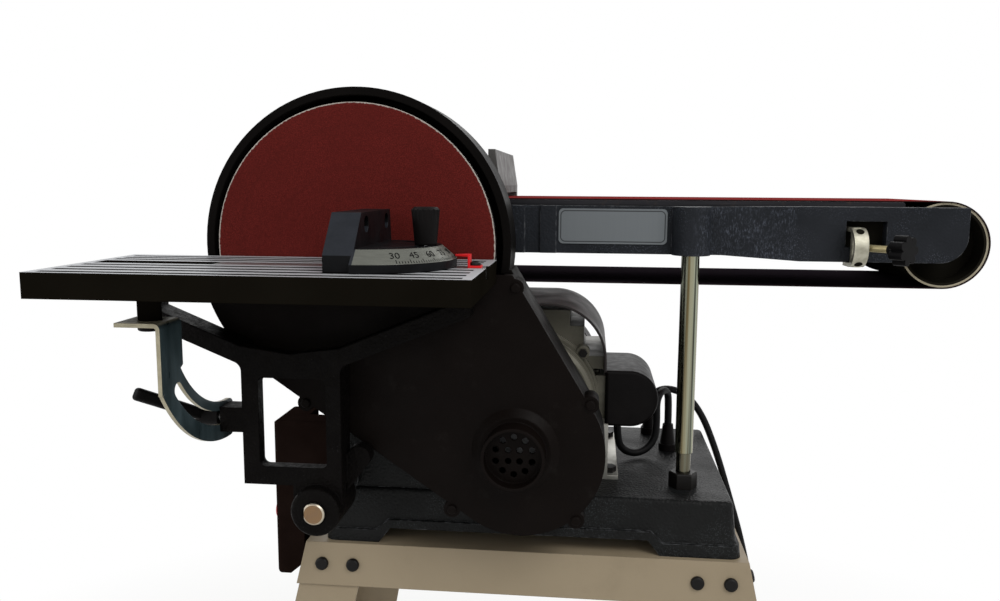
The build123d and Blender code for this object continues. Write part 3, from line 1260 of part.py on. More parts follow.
def idler_slide():
    """Block that slides in the arm's guides, forked at its end for the idler bracket, with its pivot pin."""
    y0 = END_Y1 + SLIDE
    y1 = y0 + SLIDE_T
    slide = block(SLIDE_X0, SLIDE_X1, y0, y1, SLIDE_Z0, SLIDE_Z1)
    lugs = block(SLIDE_X1, FORK_PIN_X, y0, y1, SLIDE_Z0, SLIDE_Z1)
    lugs += rod_z(FORK_PIN_X, (y0 + y1) / 2, SLIDE_Z0, SLIDE_Z1, SLIDE_T / 2)
    lugs -= block(
        SLIDE_X1, FORK_PIN_X + SLIDE_T, y0 - 1, y1 + 1, SLIDE_Z0 + FORK_LUG_H, SLIDE_Z1 - FORK_LUG_H
    )
    return slide + lugs + rod_z(FORK_PIN_X, (y0 + y1) / 2, SLIDE_Z0, SLIDE_Z1, FORK_PIN_R)


def idler_bracket():
    """Bracket on the slide's pin, with the fixed axle of the idler roller."""
    pin_y = END_Y1 + SLIDE + SLIDE_T / 2
    y0, y1 = END_Y1 + FORK_BACK, END_Y1 + SLIDE + SLIDE_T
    low, high = SLIDE_Z0 + FORK_LUG_H + SLIDE, SLIDE_Z1 - FORK_LUG_H - SLIDE
    tongue = rod_z(FORK_PIN_X, pin_y, low, high, pin_y - y0)
    tongue += block(FORK_PIN_X, IDLER_X, y0, y1, low, high)
    web = block(FORK_PIN_X + SLIDE_T, IDLER_X, y0, y1, SLIDE_Z0, FORK_HUB_R)
    axle_end = DRUM_Y1 - IDLER_WEB_DEPTH + CLEAR
    bracket = tongue + web + rod_y(IDLER_X, y0, y1, 0, FORK_HUB_R)
    bracket += rod_y(IDLER_X, y1 - 1, DRUM_Y0 + IDLER_WEB_DEPTH - CLEAR, 0, AXLE_R + AXLE_SLEEVE)
    bracket += rod_y(IDLER_X, y1 - 1, axle_end + IDLER_WEB, 0, AXLE_R)
    bracket += rod_y(IDLER_X, axle_end, axle_end + IDLER_WEB, 0, AXLE_R + AXLE_HEAD)
    return bracket - rod_z(FORK_PIN_X, pin_y, SLIDE_Z0, SLIDE_Z1, FORK_PIN_R + RUN)


def idler_roller():
    """Hollow idler roller with its hub set in from both ends."""
    y0, y1 = DRUM_Y0 + IDLER_WEB_DEPTH, DRUM_Y1 - IDLER_WEB_DEPTH
    bore_r = DRUM_R - IDLER_WALL
    tube = turned_y(IDLER_X, 0, (bore_r, DRUM_Y0), (DRUM_R, DRUM_Y0), (DRUM_R, DRUM_Y1), (bore_r, DRUM_Y1))
    for y in (y0, y1 - IDLER_WEB):
        tube += rod_y(IDLER_X, y, y + IDLER_WEB, 0, DRUM_R - IDLER_WALL / 2)
    tube += rod_y(IDLER_X, y0, y1, 0, IDLER_HUB_R)
    return tube - rod_y(IDLER_X, y0 - 1, y1 + 1, 0, AXLE_R + RUN)


def knob_axis():
    """Line of the tracking screw, from the yoke's pin outwards to the knob."""
    turn = radians(KNOB_TURN)
    start = ((YOKE_X0 + YOKE_X1) / 2, YOKE_Y, YOKE_Z)
    return Plane(start, x_dir=(sin(turn), cos(turn), 0), z_dir=(cos(turn), -sin(turn), 0))


def tracking_yoke():
    """Bent strap round the arm's lower edge and through its window."""
    r_in = YOKE_Z - END_BOTTOM
    r_out = r_in + YOKE_T
    back = END_Y1 - CLEAR
    bend = Pos(YOKE_Y, YOKE_Z) * (Circle(r_out) - Circle(r_in))
    bend &= outline((0, -2 * r_out), (YOKE_Y, -2 * r_out), (YOKE_Y, 2 * r_out), (0, 2 * r_out))
    strap = slab_x(bend, YOKE_X0, YOKE_X1)
    for z0 in (YOKE_Z + r_in, YOKE_Z - r_out):
        strap += block(YOKE_X0, YOKE_X1, YOKE_Y, back, z0, z0 + YOKE_T)
    x = (YOKE_X0 + YOKE_X1) / 2
    return strap - rod_z(x, YOKE_Y, YOKE_Z - 2 * r_out, YOKE_Z + 2 * r_out, YOKE_PIN_R + SEAT)


def yoke_pin():
    """Upright pin across the yoke, cross drilled for the tracking screw."""
    r_out = YOKE_Z - END_BOTTOM + YOKE_T
    pin = rod_z((YOKE_X0 + YOKE_X1) / 2, YOKE_Y, YOKE_Z - r_out, YOKE_Z + r_out, YOKE_PIN_R)
    return pin - knob_axis() * Cylinder(KNOB_SCREW_R + RUN, 4 * YOKE_PIN_R)


def tracking_knob():
    """Lobed knob with its screw, which ends in the yoke's pin."""
    star = Circle(KNOB_R - KNOB_LOBE_R)
    for i in range(KNOB_LOBES):
        turn = 2 * pi * i / KNOB_LOBES
        reach = KNOB_R - KNOB_LOBE_R
        star += Pos(reach * cos(turn), reach * sin(turn)) * Circle(KNOB_LOBE_R)
    knob = extrude(Pos(0, 0, KNOB_REACH - KNOB_T / 2) * star, KNOB_T)
    neck_z = KNOB_REACH - KNOB_T / 2 - KNOB_NECK_L
    knob += Pos(0, 0, neck_z + KNOB_NECK_L / 2) * Cylinder(KNOB_NECK_R, KNOB_NECK_L)
    knob += Pos(0, 0, neck_z / 2) * Cylinder(KNOB_SCREW_R, neck_z)
    return knob_axis() * knob


# Sanding table and its bracket

LEFT_COLUMN = (ARM_LEFT_X, ARM_LEFT_X + HINGE_COLUMN_W)
RIGHT_COLUMN = (ARM_RIGHT_X - HINGE_COLUMN_W, ARM_RIGHT_X)
LEFT_LUG = (ARM_LEFT_X - CLEAR - HINGE_LUG_W, ARM_LEFT_X - CLEAR)
RIGHT_LUG = (ARM_RIGHT_X + CLEAR, ARM_RIGHT_X + CLEAR + HINGE_LUG_W)
TABLE_UNDER = TABLE_TOP - TABLE_T


def sector_point(radius, turn):
    """Point in Y and Z at a radius from the table's hinge, turned from straight down to the front."""
    return HINGE_Y - radius * sin(radians(turn)), HINGE_Z - radius * cos(radians(turn))


LOCK_Y, LOCK_Z = sector_point(SECTOR_SLOT_R, LOCK_ANGLE)


def sander_table():
    """Cast table plate with rims, grooves, a slot for the miter gauge, hinge lugs and the sector's boss."""
    table = block(TABLE_X0, TABLE_X1, TABLE_FRONT, TABLE_BACK, TABLE_UNDER, TABLE_TOP)
    rim_z = TABLE_TOP - TABLE_RIM_H
    rim = block(TABLE_X0, TABLE_X1, TABLE_FRONT, TABLE_BACK - TABLE_BEVEL, rim_z, TABLE_UNDER)
    rim -= block(
        TABLE_X0 + TABLE_RIM_T, TABLE_X1 - TABLE_RIM_T, TABLE_FRONT + TABLE_RIM_T, TABLE_BACK,
        rim_z, TABLE_UNDER
    )
    table += rim
    table += block(
        TABLE_X0, TABLE_X1, MITER_Y - MITER_W / 2 - MITER_RIB_T, MITER_Y + MITER_W / 2 + MITER_RIB_T,
        TABLE_TOP - MITER_DEPTH - MITER_RIB_T, TABLE_UNDER
    )
    for x0, x1 in (LEFT_LUG, RIGHT_LUG):
        table += block(x0, x1, HINGE_Y - HINGE_LUG_R, HINGE_Y + HINGE_LUG_R, HINGE_Z, TABLE_UNDER)
        table += rod_x(x0, x1, HINGE_Y, HINGE_Z, HINGE_LUG_R)
        table -= rod_x(x0 - 1, x1 + 1, HINGE_Y, HINGE_Z, HINGE_PIN_R + RUN)
    table += rod_z(SECTOR_BOLT_X, SECTOR_BOLT_Y, SECTOR_TOP, TABLE_UNDER, SECTOR_BOSS_R)
    table -= rod_z(SECTOR_BOLT_X, SECTOR_BOLT_Y, SECTOR_TOP - 1, TABLE_UNDER, SECTOR_BOLT_R + RUN)
    for y in GROOVES:
        groove_l = TABLE_X1 - TABLE_X0 - 2 * GROOVE_MARGIN
        groove = Pos((TABLE_X0 + TABLE_X1) / 2, y) * SlotOverall(groove_l, GROOVE_W)
        table -= slab_z(groove, TABLE_TOP - GROOVE_DEPTH, TABLE_TOP + 1)
    table -= block(
        TABLE_X0 + GROOVE_MARGIN, TABLE_X1 + 1, MITER_Y - MITER_W / 2, MITER_Y + MITER_W / 2,
        TABLE_TOP - MITER_DEPTH, TABLE_TOP + 1
    )
    bevel_z, bevel_y = TABLE_TOP - TABLE_T / 2, TABLE_BACK - TABLE_BEVEL
    bevel = outline(
        (TABLE_BACK + 1, TABLE_UNDER - 1), (TABLE_BACK + 1, bevel_z), (TABLE_BACK, bevel_z),
        (bevel_y, TABLE_UNDER), (bevel_y, TABLE_UNDER - 1)
    )
    return table - slab_x(bevel, TABLE_X0 - 1, TABLE_X1 + 1)


def bracket_face():
    """Front view of the bracket: a window frame over the clamp, with two arms rising to the hinge."""
    mid_x = (BRACKET_X0 + BRACKET_X1) / 2
    left_top = ARM_ROOT_Z + ARM_SLOPE * (BRACKET_X0 - ARM_LEFT_X)
    right_top = ARM_ROOT_Z + ARM_SLOPE * (ARM_RIGHT_X - BRACKET_X1)
    frame = outline(
        (BRACKET_X0, ARM_ROOT_Z), (mid_x, ARM_DIP_Z), (BRACKET_X1, ARM_ROOT_Z), (ARM_RIGHT_X, right_top),
        (ARM_RIGHT_X, right_top - ARM_H), (BRACKET_X1, ARM_ROOT_Z - ARM_H), (BRACKET_X1, BRACKET_Z0),
        (BRACKET_X0, BRACKET_Z0), (BRACKET_X0, ARM_ROOT_Z - ARM_H), (ARM_LEFT_X, left_top - ARM_H),
        (ARM_LEFT_X, left_top)
    )
    for x in (BRACKET_X0, BRACKET_X1):
        frame = fillet(frame.vertices().sort_by_distance((x, ARM_ROOT_Z - ARM_H))[0], BRACKET_ROOT_R)
    neck = Pos(BAR_X, BAR_Z) * Circle(CLAMP_R)
    neck += outline(
        (BAR_X - CLAMP_R, BAR_Z), (BRACKET_X1, BAR_Z), (BRACKET_X1, FRAME_Z0), (BAR_X - CLAMP_R, FRAME_Z0)
    )
    window = rounded(
        FRAME_CORNER_R, (FRAME_X0, FRAME_Z0), (FRAME_X1, FRAME_Z0), (FRAME_X1, FRAME_Z1), (FRAME_X0, FRAME_Z1)
    )
    return frame + neck - window


def table_bracket():
    """Cast bracket of the table, clamped on the bar, with hinge columns and a boss for the lock stud."""
    plate_back = BRACKET_FRONT + BRACKET_T
    bracket = slab_y(bracket_face(), BRACKET_FRONT, plate_back)
    for x0, x1 in (LEFT_COLUMN, RIGHT_COLUMN):
        column_low = ARM_ROOT_Z + ARM_SLOPE * min(abs(x0 - BRACKET_X0), abs(x1 - BRACKET_X1)) - ARM_H
        bracket += block(x0, x1, BRACKET_FRONT, BRACKET_BACK, column_low, HINGE_Z - HINGE_LUG_R)
        bracket += block(
            x0, x1, HINGE_Y - HINGE_LUG_R, HINGE_Y + HINGE_LUG_R, HINGE_Z - 2 * HINGE_LUG_R, HINGE_Z
        )
        bracket += rod_x(x0, x1, HINGE_Y, HINGE_Z, HINGE_LUG_R)
    for x0, x1, rise in (
        (LEFT_COLUMN[1] - 1, BRACKET_X0 + 1, -ARM_SLOPE), (BRACKET_X1 - 1, RIGHT_COLUMN[0] + 1, ARM_SLOPE)
    ):
        root = BRACKET_X0 if rise < 0 else BRACKET_X1
        z0, z1 = ARM_ROOT_Z + rise * (x0 - root), ARM_ROOT_Z + rise * (x1 - root)
        rib = outline((x0, z0), (x1, z1), (x1, z1 - ARM_H), (x0, z0 - ARM_H))
        bracket += slab_y(rib, BRACKET_FRONT, BRACKET_BACK)
    bracket += block(
        BRACKET_X1 - RIGHT_LEG_T, BRACKET_X1, BRACKET_FRONT, BRACKET_BACK, BRACKET_Z0, ARM_ROOT_Z - ARM_H + 1
    )
    clamp = rod_y(BAR_X, CLAMP_Y0, CLAMP_Y1, BAR_Z, CLAMP_R)
    bracket += fillet(clamp.edges().group_by(Axis.Y)[0], CLAMP_EDGE_R)
    ear = make_hull(
        (Pos(*BRACKET_EAR) * Circle(BRACKET_EAR_R)).edges()
        + Line((BRACKET_X1 - 1, BRACKET_EAR[1]), (BRACKET_X1 - 1, BRACKET_EAR_LOW)).edges()
    )
    bracket += slab_y(ear, BRACKET_EAR_Y0, BRACKET_EAR_Y1)
    boss_half = LOCK_BOSS_W / 2
    lock_x = SECTOR_X0 + SECTOR_T + CLEAR
    bracket += block(
        lock_x, BRACKET_X0 + 1, LOCK_Y - boss_half, LOCK_Y + boss_half, LOCK_Z - boss_half, LOCK_Z + boss_half
    )
    for x0, x1 in (LEFT_COLUMN, RIGHT_COLUMN):
        bracket -= rod_x(x0 - 1, x1 + 1, HINGE_Y, HINGE_Z, HINGE_PIN_R + SEAT)
    bracket -= rod_y(BAR_X, CLAMP_Y0 - 1, CLAMP_Y1 + 1, BAR_Z, BAR_R + RUN)
    bracket -= rod_x(lock_x - 1, lock_x + LOCK_STUD_GRIP, LOCK_Y, LOCK_Z, LOCK_STUD_R + SEAT)
    screw_y = (CLAMP_Y0 + CLAMP_Y1) / 2
    bracket -= rod_z(BAR_X, screw_y, BAR_Z - 2 * CLAMP_R, BAR_Z, CLAMP_SCREW_R + SEAT)
    return bracket


def clamp_screw():
    """Socket set screw that pins the bracket on its bar."""
    screw_y = (CLAMP_Y0 + CLAMP_Y1) / 2
    low = BAR_Z - CLAMP_R + 1
    screw = rod_z(BAR_X, screw_y, low, BAR_Z - BAR_R - CLEAR, CLAMP_SCREW_R)
    return screw - extrude(Pos(BAR_X, screw_y, low) * hexagon(CLAMP_SCREW_R), CLAMP_SCREW_R)


def hinge_pins():
    """The two pins on which the table tilts."""
    left = rod_x(LEFT_LUG[0] - CLEAR, LEFT_COLUMN[1] + 1, HINGE_Y, HINGE_Z, HINGE_PIN_R)
    right = rod_x(RIGHT_COLUMN[0] - 1, RIGHT_LUG[1] + CLEAR, HINGE_Y, HINGE_Z, HINGE_PIN_R)
    return [left.solid(), right.solid()]


def sector_plate():
    """Bent sector plate below the table, with a curved slot for the lock stud and a flange for its bolt."""
    far = 2 * SECTOR_R_OUT
    wedge = outline((HINGE_Y, HINGE_Z), sector_point(far, SECTOR_FROM), sector_point(far, SECTOR_TO))
    ring = Pos(HINGE_Y, HINGE_Z) * (Circle(SECTOR_R_OUT) - Circle(SECTOR_R_IN))
    bottom = sector_point(SECTOR_R_OUT, SECTOR_TO)[1]
    strip = outline(
        (SECTOR_STRIP_Y0, bottom), (SECTOR_STRIP_Y1, sector_point(SECTOR_R_IN, SECTOR_TO)[1]),
        (SECTOR_STRIP_Y1, SECTOR_TOP), (SECTOR_STRIP_Y0, SECTOR_TOP)
    )
    slot_line = CenterArc(
        (HINGE_Y, HINGE_Z), SECTOR_SLOT_R, 270 - LOCK_ANGLE - TABLE_TILT - SECTOR_SLOT_ROOM,
        TABLE_TILT + 2 * SECTOR_SLOT_ROOM
    )
    band = ring & wedge
    for r in (SECTOR_R_IN, SECTOR_R_OUT):
        band = fillet(band.vertices().sort_by_distance(sector_point(r, SECTOR_FROM))[0], SECTOR_END_R)
    plate = slab_x(band + strip - SlotArc(slot_line, SECTOR_SLOT_W), SECTOR_X0, SECTOR_X0 + SECTOR_T)
    plate += block(
        SECTOR_FLANGE_X, SECTOR_X0 + SECTOR_T, SECTOR_STRIP_Y0, SECTOR_STRIP_Y1,
        SECTOR_TOP - SECTOR_T, SECTOR_TOP
    )
    along = plate.edges().filter_by(Axis.Y)
    outer = along.sort_by_distance((SECTOR_X0 + SECTOR_T, SECTOR_BOLT_Y, SECTOR_TOP))[0]
    inner = along.sort_by_distance((SECTOR_X0, SECTOR_BOLT_Y, SECTOR_TOP - SECTOR_T))[0]
    plate = fillet(outer, SECTOR_BEND_R)
    inner = plate.edges().filter_by(Axis.Y).sort_by_distance(inner.center())[0]
    plate = fillet(inner, SECTOR_BEND_R - SECTOR_T)
    hole_r = SECTOR_BOLT_R + RUN
    return plate - rod_z(SECTOR_BOLT_X, SECTOR_BOLT_Y, SECTOR_TOP - 2 * SECTOR_T, SECTOR_TOP + 1, hole_r)


def sector_bolt():
    """Bolt through the sector plate's flange into the table's boss."""
    seat = SECTOR_TOP - SECTOR_T
    head = rod_z(SECTOR_BOLT_X, SECTOR_BOLT_Y, seat - SECTOR_BOLT_HEAD_H, seat, SECTOR_BOLT_HEAD_R)
    head = fillet(head.edges().group_by(Axis.Z)[0], SECTOR_BOLT_HEAD_H / 3)
    return head + rod_z(SECTOR_BOLT_X, SECTOR_BOLT_Y, seat, TABLE_UNDER - 1, SECTOR_BOLT_R)


LOCK_HUB_X1 = SECTOR_X0 - CLEAR
LOCK_HUB_X0 = LOCK_HUB_X1 - LOCK_HUB_L


def lock_stud():
    """Threaded stud in the bracket's boss, through the sector's slot."""
    inner_end = SECTOR_X0 + SECTOR_T + CLEAR + LOCK_STUD_GRIP - 1
    return rod_x(LOCK_HUB_X0 + 2, inner_end, LOCK_Y, LOCK_Z, LOCK_STUD_R)


def lock_lever():
    """Clamping lever on the stud: a round hub and a flat grip that leans outwards, up and to the front."""
    hub = rod_x(LOCK_HUB_X0, LOCK_HUB_X1, LOCK_Y, LOCK_Z, LOCK_HUB_R)
    out, front, up = LOCK_LEVER_REACH
    heading = Vector(-out, -front, up)
    root = Plane((LOCK_HUB_X0 + LOCK_LEVER_ROOT, LOCK_Y, LOCK_Z), x_dir=(-front, out, 0), z_dir=heading)
    grip = extrude(root * RectangleRounded(LOCK_LEVER_T, LOCK_LEVER_W, LOCK_LEVER_EDGE_R), heading.length)
    tip = Vector(*root.origin) + heading
    end_face = grip.faces().sort_by_distance(tip)[0]
    lever = hub + fillet(end_face.edges(), LOCK_LEVER_EDGE_R)
    return lever - rod_x(LOCK_HUB_X0 + 1, LOCK_HUB_X1 + 1, LOCK_Y, LOCK_Z, LOCK_STUD_R + RUN)


# Miter gauge

BAR_TOP = TABLE_TOP - SLIDE
STUD_X = MITER_PIVOT_X + SWIVEL_SLOT_R


def miter_bar():
    """Bar in the table's slot, with the head's pivot and the clamp stud."""
    half = MITER_W / 2 - SLIDE
    bar = block(MITER_X0, MITER_X1, MITER_Y - half, MITER_Y + half, BAR_TOP - MITER_BAR_H, BAR_TOP)
    head_top = TABLE_TOP + SLIDE + HEAD_H
    bar += rod_z(MITER_PIVOT_X, MITER_Y, BAR_TOP, head_top - 2, MITER_PIVOT_R)
    return bar + rod_z(STUD_X, MITER_Y, BAR_TOP, head_top + MITER_KNOB_H / 2, MITER_STUD_R)


def miter_head():
    """Half round head with a swivel slot and the fence across it."""
    z0 = TABLE_TOP + SLIDE
    z1 = z0 + HEAD_H
    half = Pos(MITER_PIVOT_X, MITER_Y) * Circle(HEAD_R)
    half &= outline(
        (FENCE_X1 - 1, MITER_Y - 2 * HEAD_R), (MITER_PIVOT_X + 2 * HEAD_R, MITER_Y - 2 * HEAD_R),
        (MITER_PIVOT_X + 2 * HEAD_R, MITER_Y + 2 * HEAD_R), (FENCE_X1 - 1, MITER_Y + 2 * HEAD_R)
    )
    head = slab_z(half, z0, z1)
    rim = head.edges().filter_by(GeomType.CIRCLE).group_by(Axis.Z)[-1]
    head = chamfer(rim, HEAD_BEVEL_H, HEAD_BEVEL_W)
    fence = outline(
        (MITER_Y - FENCE_NEAR, z0), (MITER_Y - FENCE_NEAR, z0 + FENCE_FOOT_H),
        (MITER_Y - FENCE_CROWN_NEAR, z0 + FENCE_H), (MITER_Y + FENCE_CROWN_FAR, z0 + FENCE_H),
        (MITER_Y + FENCE_FAR, z0 + FENCE_FOOT_H), (MITER_Y + FENCE_FAR, z0)
    )
    head += slab_x(fence, FENCE_X0, FENCE_X1)
    for y in FENCE_HOLES:
        head -= rod_x(FENCE_X1 - FENCE_HOLE_DEPTH, FENCE_X1 + 1, MITER_Y + y, z0 + FENCE_HOLE_Z, FENCE_HOLE_R)
        head -= rod_x(FENCE_X0 - 1, FENCE_X1, MITER_Y + y, z0 + FENCE_HOLE_Z, MITER_STUD_R)
    slot = SlotArc(
        CenterArc((MITER_PIVOT_X, MITER_Y), SWIVEL_SLOT_R, -SWIVEL_SPAN, 2 * SWIVEL_SPAN), SWIVEL_SLOT_W
    )
    head -= slab_z(slot, z0 - 1, z1 + 1)
    return head - rod_z(MITER_PIVOT_X, MITER_Y, z0 - 1, z1 - 1, MITER_PIVOT_R + RUN)


def miter_knob():
    """Tapered clamp knob on the stud, ribbed round its side."""
    z0 = TABLE_TOP + SLIDE + HEAD_H + CLEAR
    z1 = z0 + MITER_KNOB_H
    knob = turned_z(
        STUD_X, MITER_Y, (0, z0), (MITER_KNOB_FOOT_R, z0), (MITER_KNOB_R, z1 - MITER_KNOB_EDGE),
        (MITER_KNOB_R - MITER_KNOB_EDGE, z1), (0, z1)
    )
    groove_r = MITER_KNOB_R + KNOB_RIB_OUT
    for i in range(KNOB_RIBS):
        turn = 2 * pi * i / KNOB_RIBS
        x, y = STUD_X + groove_r * cos(turn), MITER_Y + groove_r * sin(turn)
        knob -= rod_z(x, y, z0 + KNOB_RIB_LOW, z1 + 1, KNOB_RIB_R)
    return knob - rod_z(STUD_X, MITER_Y, z0 - 1, z0 + MITER_KNOB_H / 2 + 1, MITER_STUD_R + RUN)


def miter_pointer():
    """Z bent pointer on the bar, its tip held over the edge of the scale."""
    z0, z1 = BAR_TOP, BAR_TOP + POINTER_RISE
    mid = (POINTER_X0 + POINTER_X1) / 2
    bend = mid + POINTER_T
    side = outline(
        (POINTER_X1, z0), (POINTER_X1, z0 + POINTER_T), (bend, z0 + POINTER_T), (bend, z1),
        (POINTER_X0, z1), (POINTER_X0, z1 - POINTER_T), (mid, z1 - POINTER_T), (mid, z0)
    )
    pointer = slab_y(side, MITER_Y - POINTER_W / 2, MITER_Y + POINTER_W / 2)
    tip = outline(
        (POINTER_X0, MITER_Y), (mid, MITER_Y - POINTER_W / 2), (POINTER_X1, MITER_Y - POINTER_W / 2),
        (POINTER_X1, MITER_Y + POINTER_W / 2), (mid, MITER_Y + POINTER_W / 2)
    )
    return pointer & slab_z(tip, z0 - 1, z1 + 1)


# Switch

def button_places():
    """Middles of the two buttons on the switch box's left side, in Y and Z, the upper one first."""
    mid_y, mid_z = (SWITCH_Y0 + SWITCH_Y1) / 2, (SWITCH_LOW + SWITCH_TOP) / 2
    return [(mid_y, mid_z + side * BUTTON_PITCH / 2) for side in (1, -1)]


def switch_box():
    """Moulded switch box, open towards the stand, with its arm to the pedestal and two round button holes."""
    cut_x, cut_z = SWITCH_X1 - SWITCH_CUT_X, SWITCH_LOW + SWITCH_CUT_H
    front = outline(
        (SWITCH_X0, SWITCH_LOW), (cut_x, SWITCH_LOW), (SWITCH_X1, cut_z), (SWITCH_X1, SWITCH_TOP),
        (SWITCH_X0, SWITCH_TOP)
    )
    box = slab_y(front, SWITCH_Y0, SWITCH_Y1)
    left = box.faces().sort_by(Axis.X)[0]
    box = fillet(left.edges(), SWITCH_EDGE_R)
    inside = offset(front, -SWITCH_WALL, kind=Kind.INTERSECTION)
    mouth_x0, mouth_x1 = SWITCH_X1 - 2 * SWITCH_WALL, SWITCH_X1 + 1
    mouth_top = SWITCH_TOP - SWITCH_WALL
    inside += outline((mouth_x0, cut_z), (mouth_x1, cut_z), (mouth_x1, mouth_top), (mouth_x0, mouth_top))
    box -= slab_y(inside, SWITCH_Y0 + SWITCH_WALL, SWITCH_Y1 - SWITCH_WALL)
    box += block(
        SWITCH_X1 - SWITCH_WALL, PEDESTAL_X0, SWITCH_Y0, SWITCH_Y0 + SWITCH_ARM_D, SWITCH_ARM_LOW, SWITCH_TOP
    )
    hole_end = SWITCH_X0 + 2 * SWITCH_WALL
    return box - [rod_x(SWITCH_X0 - 1, hole_end, y, z, BUTTON_R + CLEAR) for y, z in button_places()]


def button(place):
    """Push button with a flange that keeps it in the box."""
    y, z = place
    flange_x = SWITCH_X0 + SWITCH_WALL + CLEAR
    cap = rod_x(SWITCH_X0 - BUTTON_PROUD, flange_x + BUTTON_FLANGE_T, y, z, BUTTON_R)
    cap = fillet(cap.edges().group_by(Axis.X)[0], BUTTON_EDGE_R)
    return cap + rod_x(flange_x, flange_x + BUTTON_FLANGE_T, y, z, BUTTON_FLANGE_R)


# Cords

GLAND_TOP = BASE_TOP + GLAND_H + GLAND_TAPER
CORD_FLOOR = FLOOR + TIE_T + TIE_ROOM + CORD_R

LEAD_ROUTE = [
    (219.0, 150.0, -174.0), (219.0, 150.0, -199.2), (226.5, 153.5, -210.4), (238.5, 159.0, -214.7),
    (250.5, 164.5, -210.4), (258.0, 168.0, -199.2), (258.7, 168.8, -182.0), (257.9, 167.9, -164.5),
    (260.7, 172.6, -157.1), (265.0, 180.0, -154.3), (269.3, 187.4, -157.1), (272.0, 192.0, -164.5),
    (272.0, 192.0, GLAND_TOP)
]
MAINS_ROUTE = [
    (257.0, 249.0, GLAND_TOP), (257.0, 249.0, -184.0), (260.5, 249.4, -176.0), (267.5, 250.4, -170.5),
    (277.0, 252.2, -169.5), (289.0, 254.8, -173.0), (303.0, 259.0, -183.0), (317.0, 266.0, -204.0),
    (329.0, 275.5, -232.0), (340.0, 283.0, -262.0),
    (352.0, 287.5, -300.0), (366.0, 290.0, -345.0), (379.0, 290.5, -398.0), (389.5, 290.0, -455.0),
    (396.0, 289.0, -520.0), (399.5, 287.5, -590.0), (400.5, 286.0, -665.0), (399.5, 285.0, -738.0),
    (397.0, 283.0, -800.0), (388.0, 277.5, -846.0), (372.0, 267.5, -873.0)
]


def turn_radii(points):
    """Radius of the arc at each inner point: as large as its two runs allow."""
    radii = []
    for before, here, after in zip(points, points[1:], points[2:]):
        run_in, run_out = Vector(*here) - Vector(*before), Vector(*after) - Vector(*here)
        half_turn = radians(run_in.get_angle(run_out)) / 2
        radii.append(ARC_SHARE * min(run_in.length, run_out.length) / tan(half_turn))
    return radii


def cord_tube(name, points):
    """Round cord along straight runs joined by tangent arcs."""
    radii = turn_radii(points)
    path = FilletPolyline(*points, radius=radii)
    section = Plane(path @ 0, z_dir=path % 0) * Circle(CORD_R)
    tube = sweep(section, path=path)
    exact = pi * CORD_R ** 2 * path.length
    print(name, "length", round(path.length, 1), "volume ratio", round(tube.volume / exact, 4))
    print(name, "radii", [round(r, 1) for r in radii])
    return tube


def coil_point(turns):
    """Place and direction on the coil's middle line after a number of turns."""
    mid = COIL_TURNS / 2
    radius = COIL_R - COIL_PITCH * min(turns, COIL_TURNS - turns)
    climb = min(max((turns - mid) * 2 + 0.5, 0), 1)
    height = CORD_FLOOR + COIL_PITCH * climb ** 2 * (3 - 2 * climb)
    inwards = 0 if abs(turns - mid) < 0.01 else (-1 if turns < mid else 1)
    if turns in (0, COIL_TURNS):
        inwards = 0
    steep = COIL_PITCH * 2 * 6 * climb * (1 - climb)
    turn = radians(COIL_START) + 2 * pi * turns
    place = Vector(COIL_CENTRE[0] + radius * cos(turn), COIL_CENTRE[1] + radius * sin(turn), height)
    out, along = Vector(cos(turn), sin(turn), 0), Vector(-sin(turn), cos(turn), 0)
    heading = along * (2 * pi * radius) + out * (inwards * COIL_PITCH) + Vector(0, 0, steep)
    return place, heading.normalized()


def biarc(p0, t0, p1, t1):
    """Two arcs that leave the first point and reach the second in the given directions."""
    gap, both = p1 - p0, t0 + t1
    lean = 2 * (1 - t0.dot(t1))
    reach = (-gap.dot(both) + (gap.dot(both) ** 2 + lean * gap.dot(gap)) ** 0.5) / lean
    joint = (p0 + t0 * reach + p1 - t1 * reach) / 2
    return [TangentArc(p0, joint, tangent=t0), TangentArc(p1, joint, tangent=-t1)]


def coil_ends():
    """Ends of the coil's tube, one cord diameter beyond its first and last turn."""
    (p0, t0), (p1, t1) = coil_point(0), coil_point(COIL_TURNS)
    return p0 - t0 * 2 * CORD_R, t0, p1 + t1 * 2 * CORD_R, t1


def mains_coil():
    """Put away length of the mains cord: one tube wound inwards, up a layer and outwards again."""
    steps = int(COIL_TURNS * 4)
    marks = [coil_point(i * COIL_TURNS / steps) for i in range(steps + 1)]
    first, _, last, _ = coil_ends()
    edges = [Line(first, marks[0][0])]
    for (p0, t0), (p1, t1) in zip(marks, marks[1:]):
        edges += biarc(p0, t0, p1, t1)
    edges.append(Line(marks[-1][0], last))
    path = Wire([e.edge() for e in edges])
    tube = sweep(Plane(first, z_dir=marks[0][1]) * Circle(CORD_R), path=path)
    samples = [path.position_at(i / COIL_SAMPLES) for i in range(COIL_SAMPLES + 1)]
    near = 3 * CORD_R * pi
    step = path.length / COIL_SAMPLES
    gap = min(
        (samples[i] - samples[j]).length
        for i in range(0, COIL_SAMPLES + 1, 3) for j in range(i) if (i - j) * step > near
    ) - 2 * CORD_R
    exact = pi * CORD_R ** 2 * path.length
    print("coil length", round(path.length, 1), "gap", round(gap, 2))
    print("coil volume ratio", round(tube.volume / exact, 4))
    return tube


def mains_cord():
    """Mains cord from its gland over the base's edge, down to the floor and on to the coil."""
    first, heading, _, _ = coil_ends()
    end = tuple(first)
    before = tuple(first - heading * COIL_LEAD)
    return cord_tube("mains_cord", MAINS_ROUTE + [before, end])


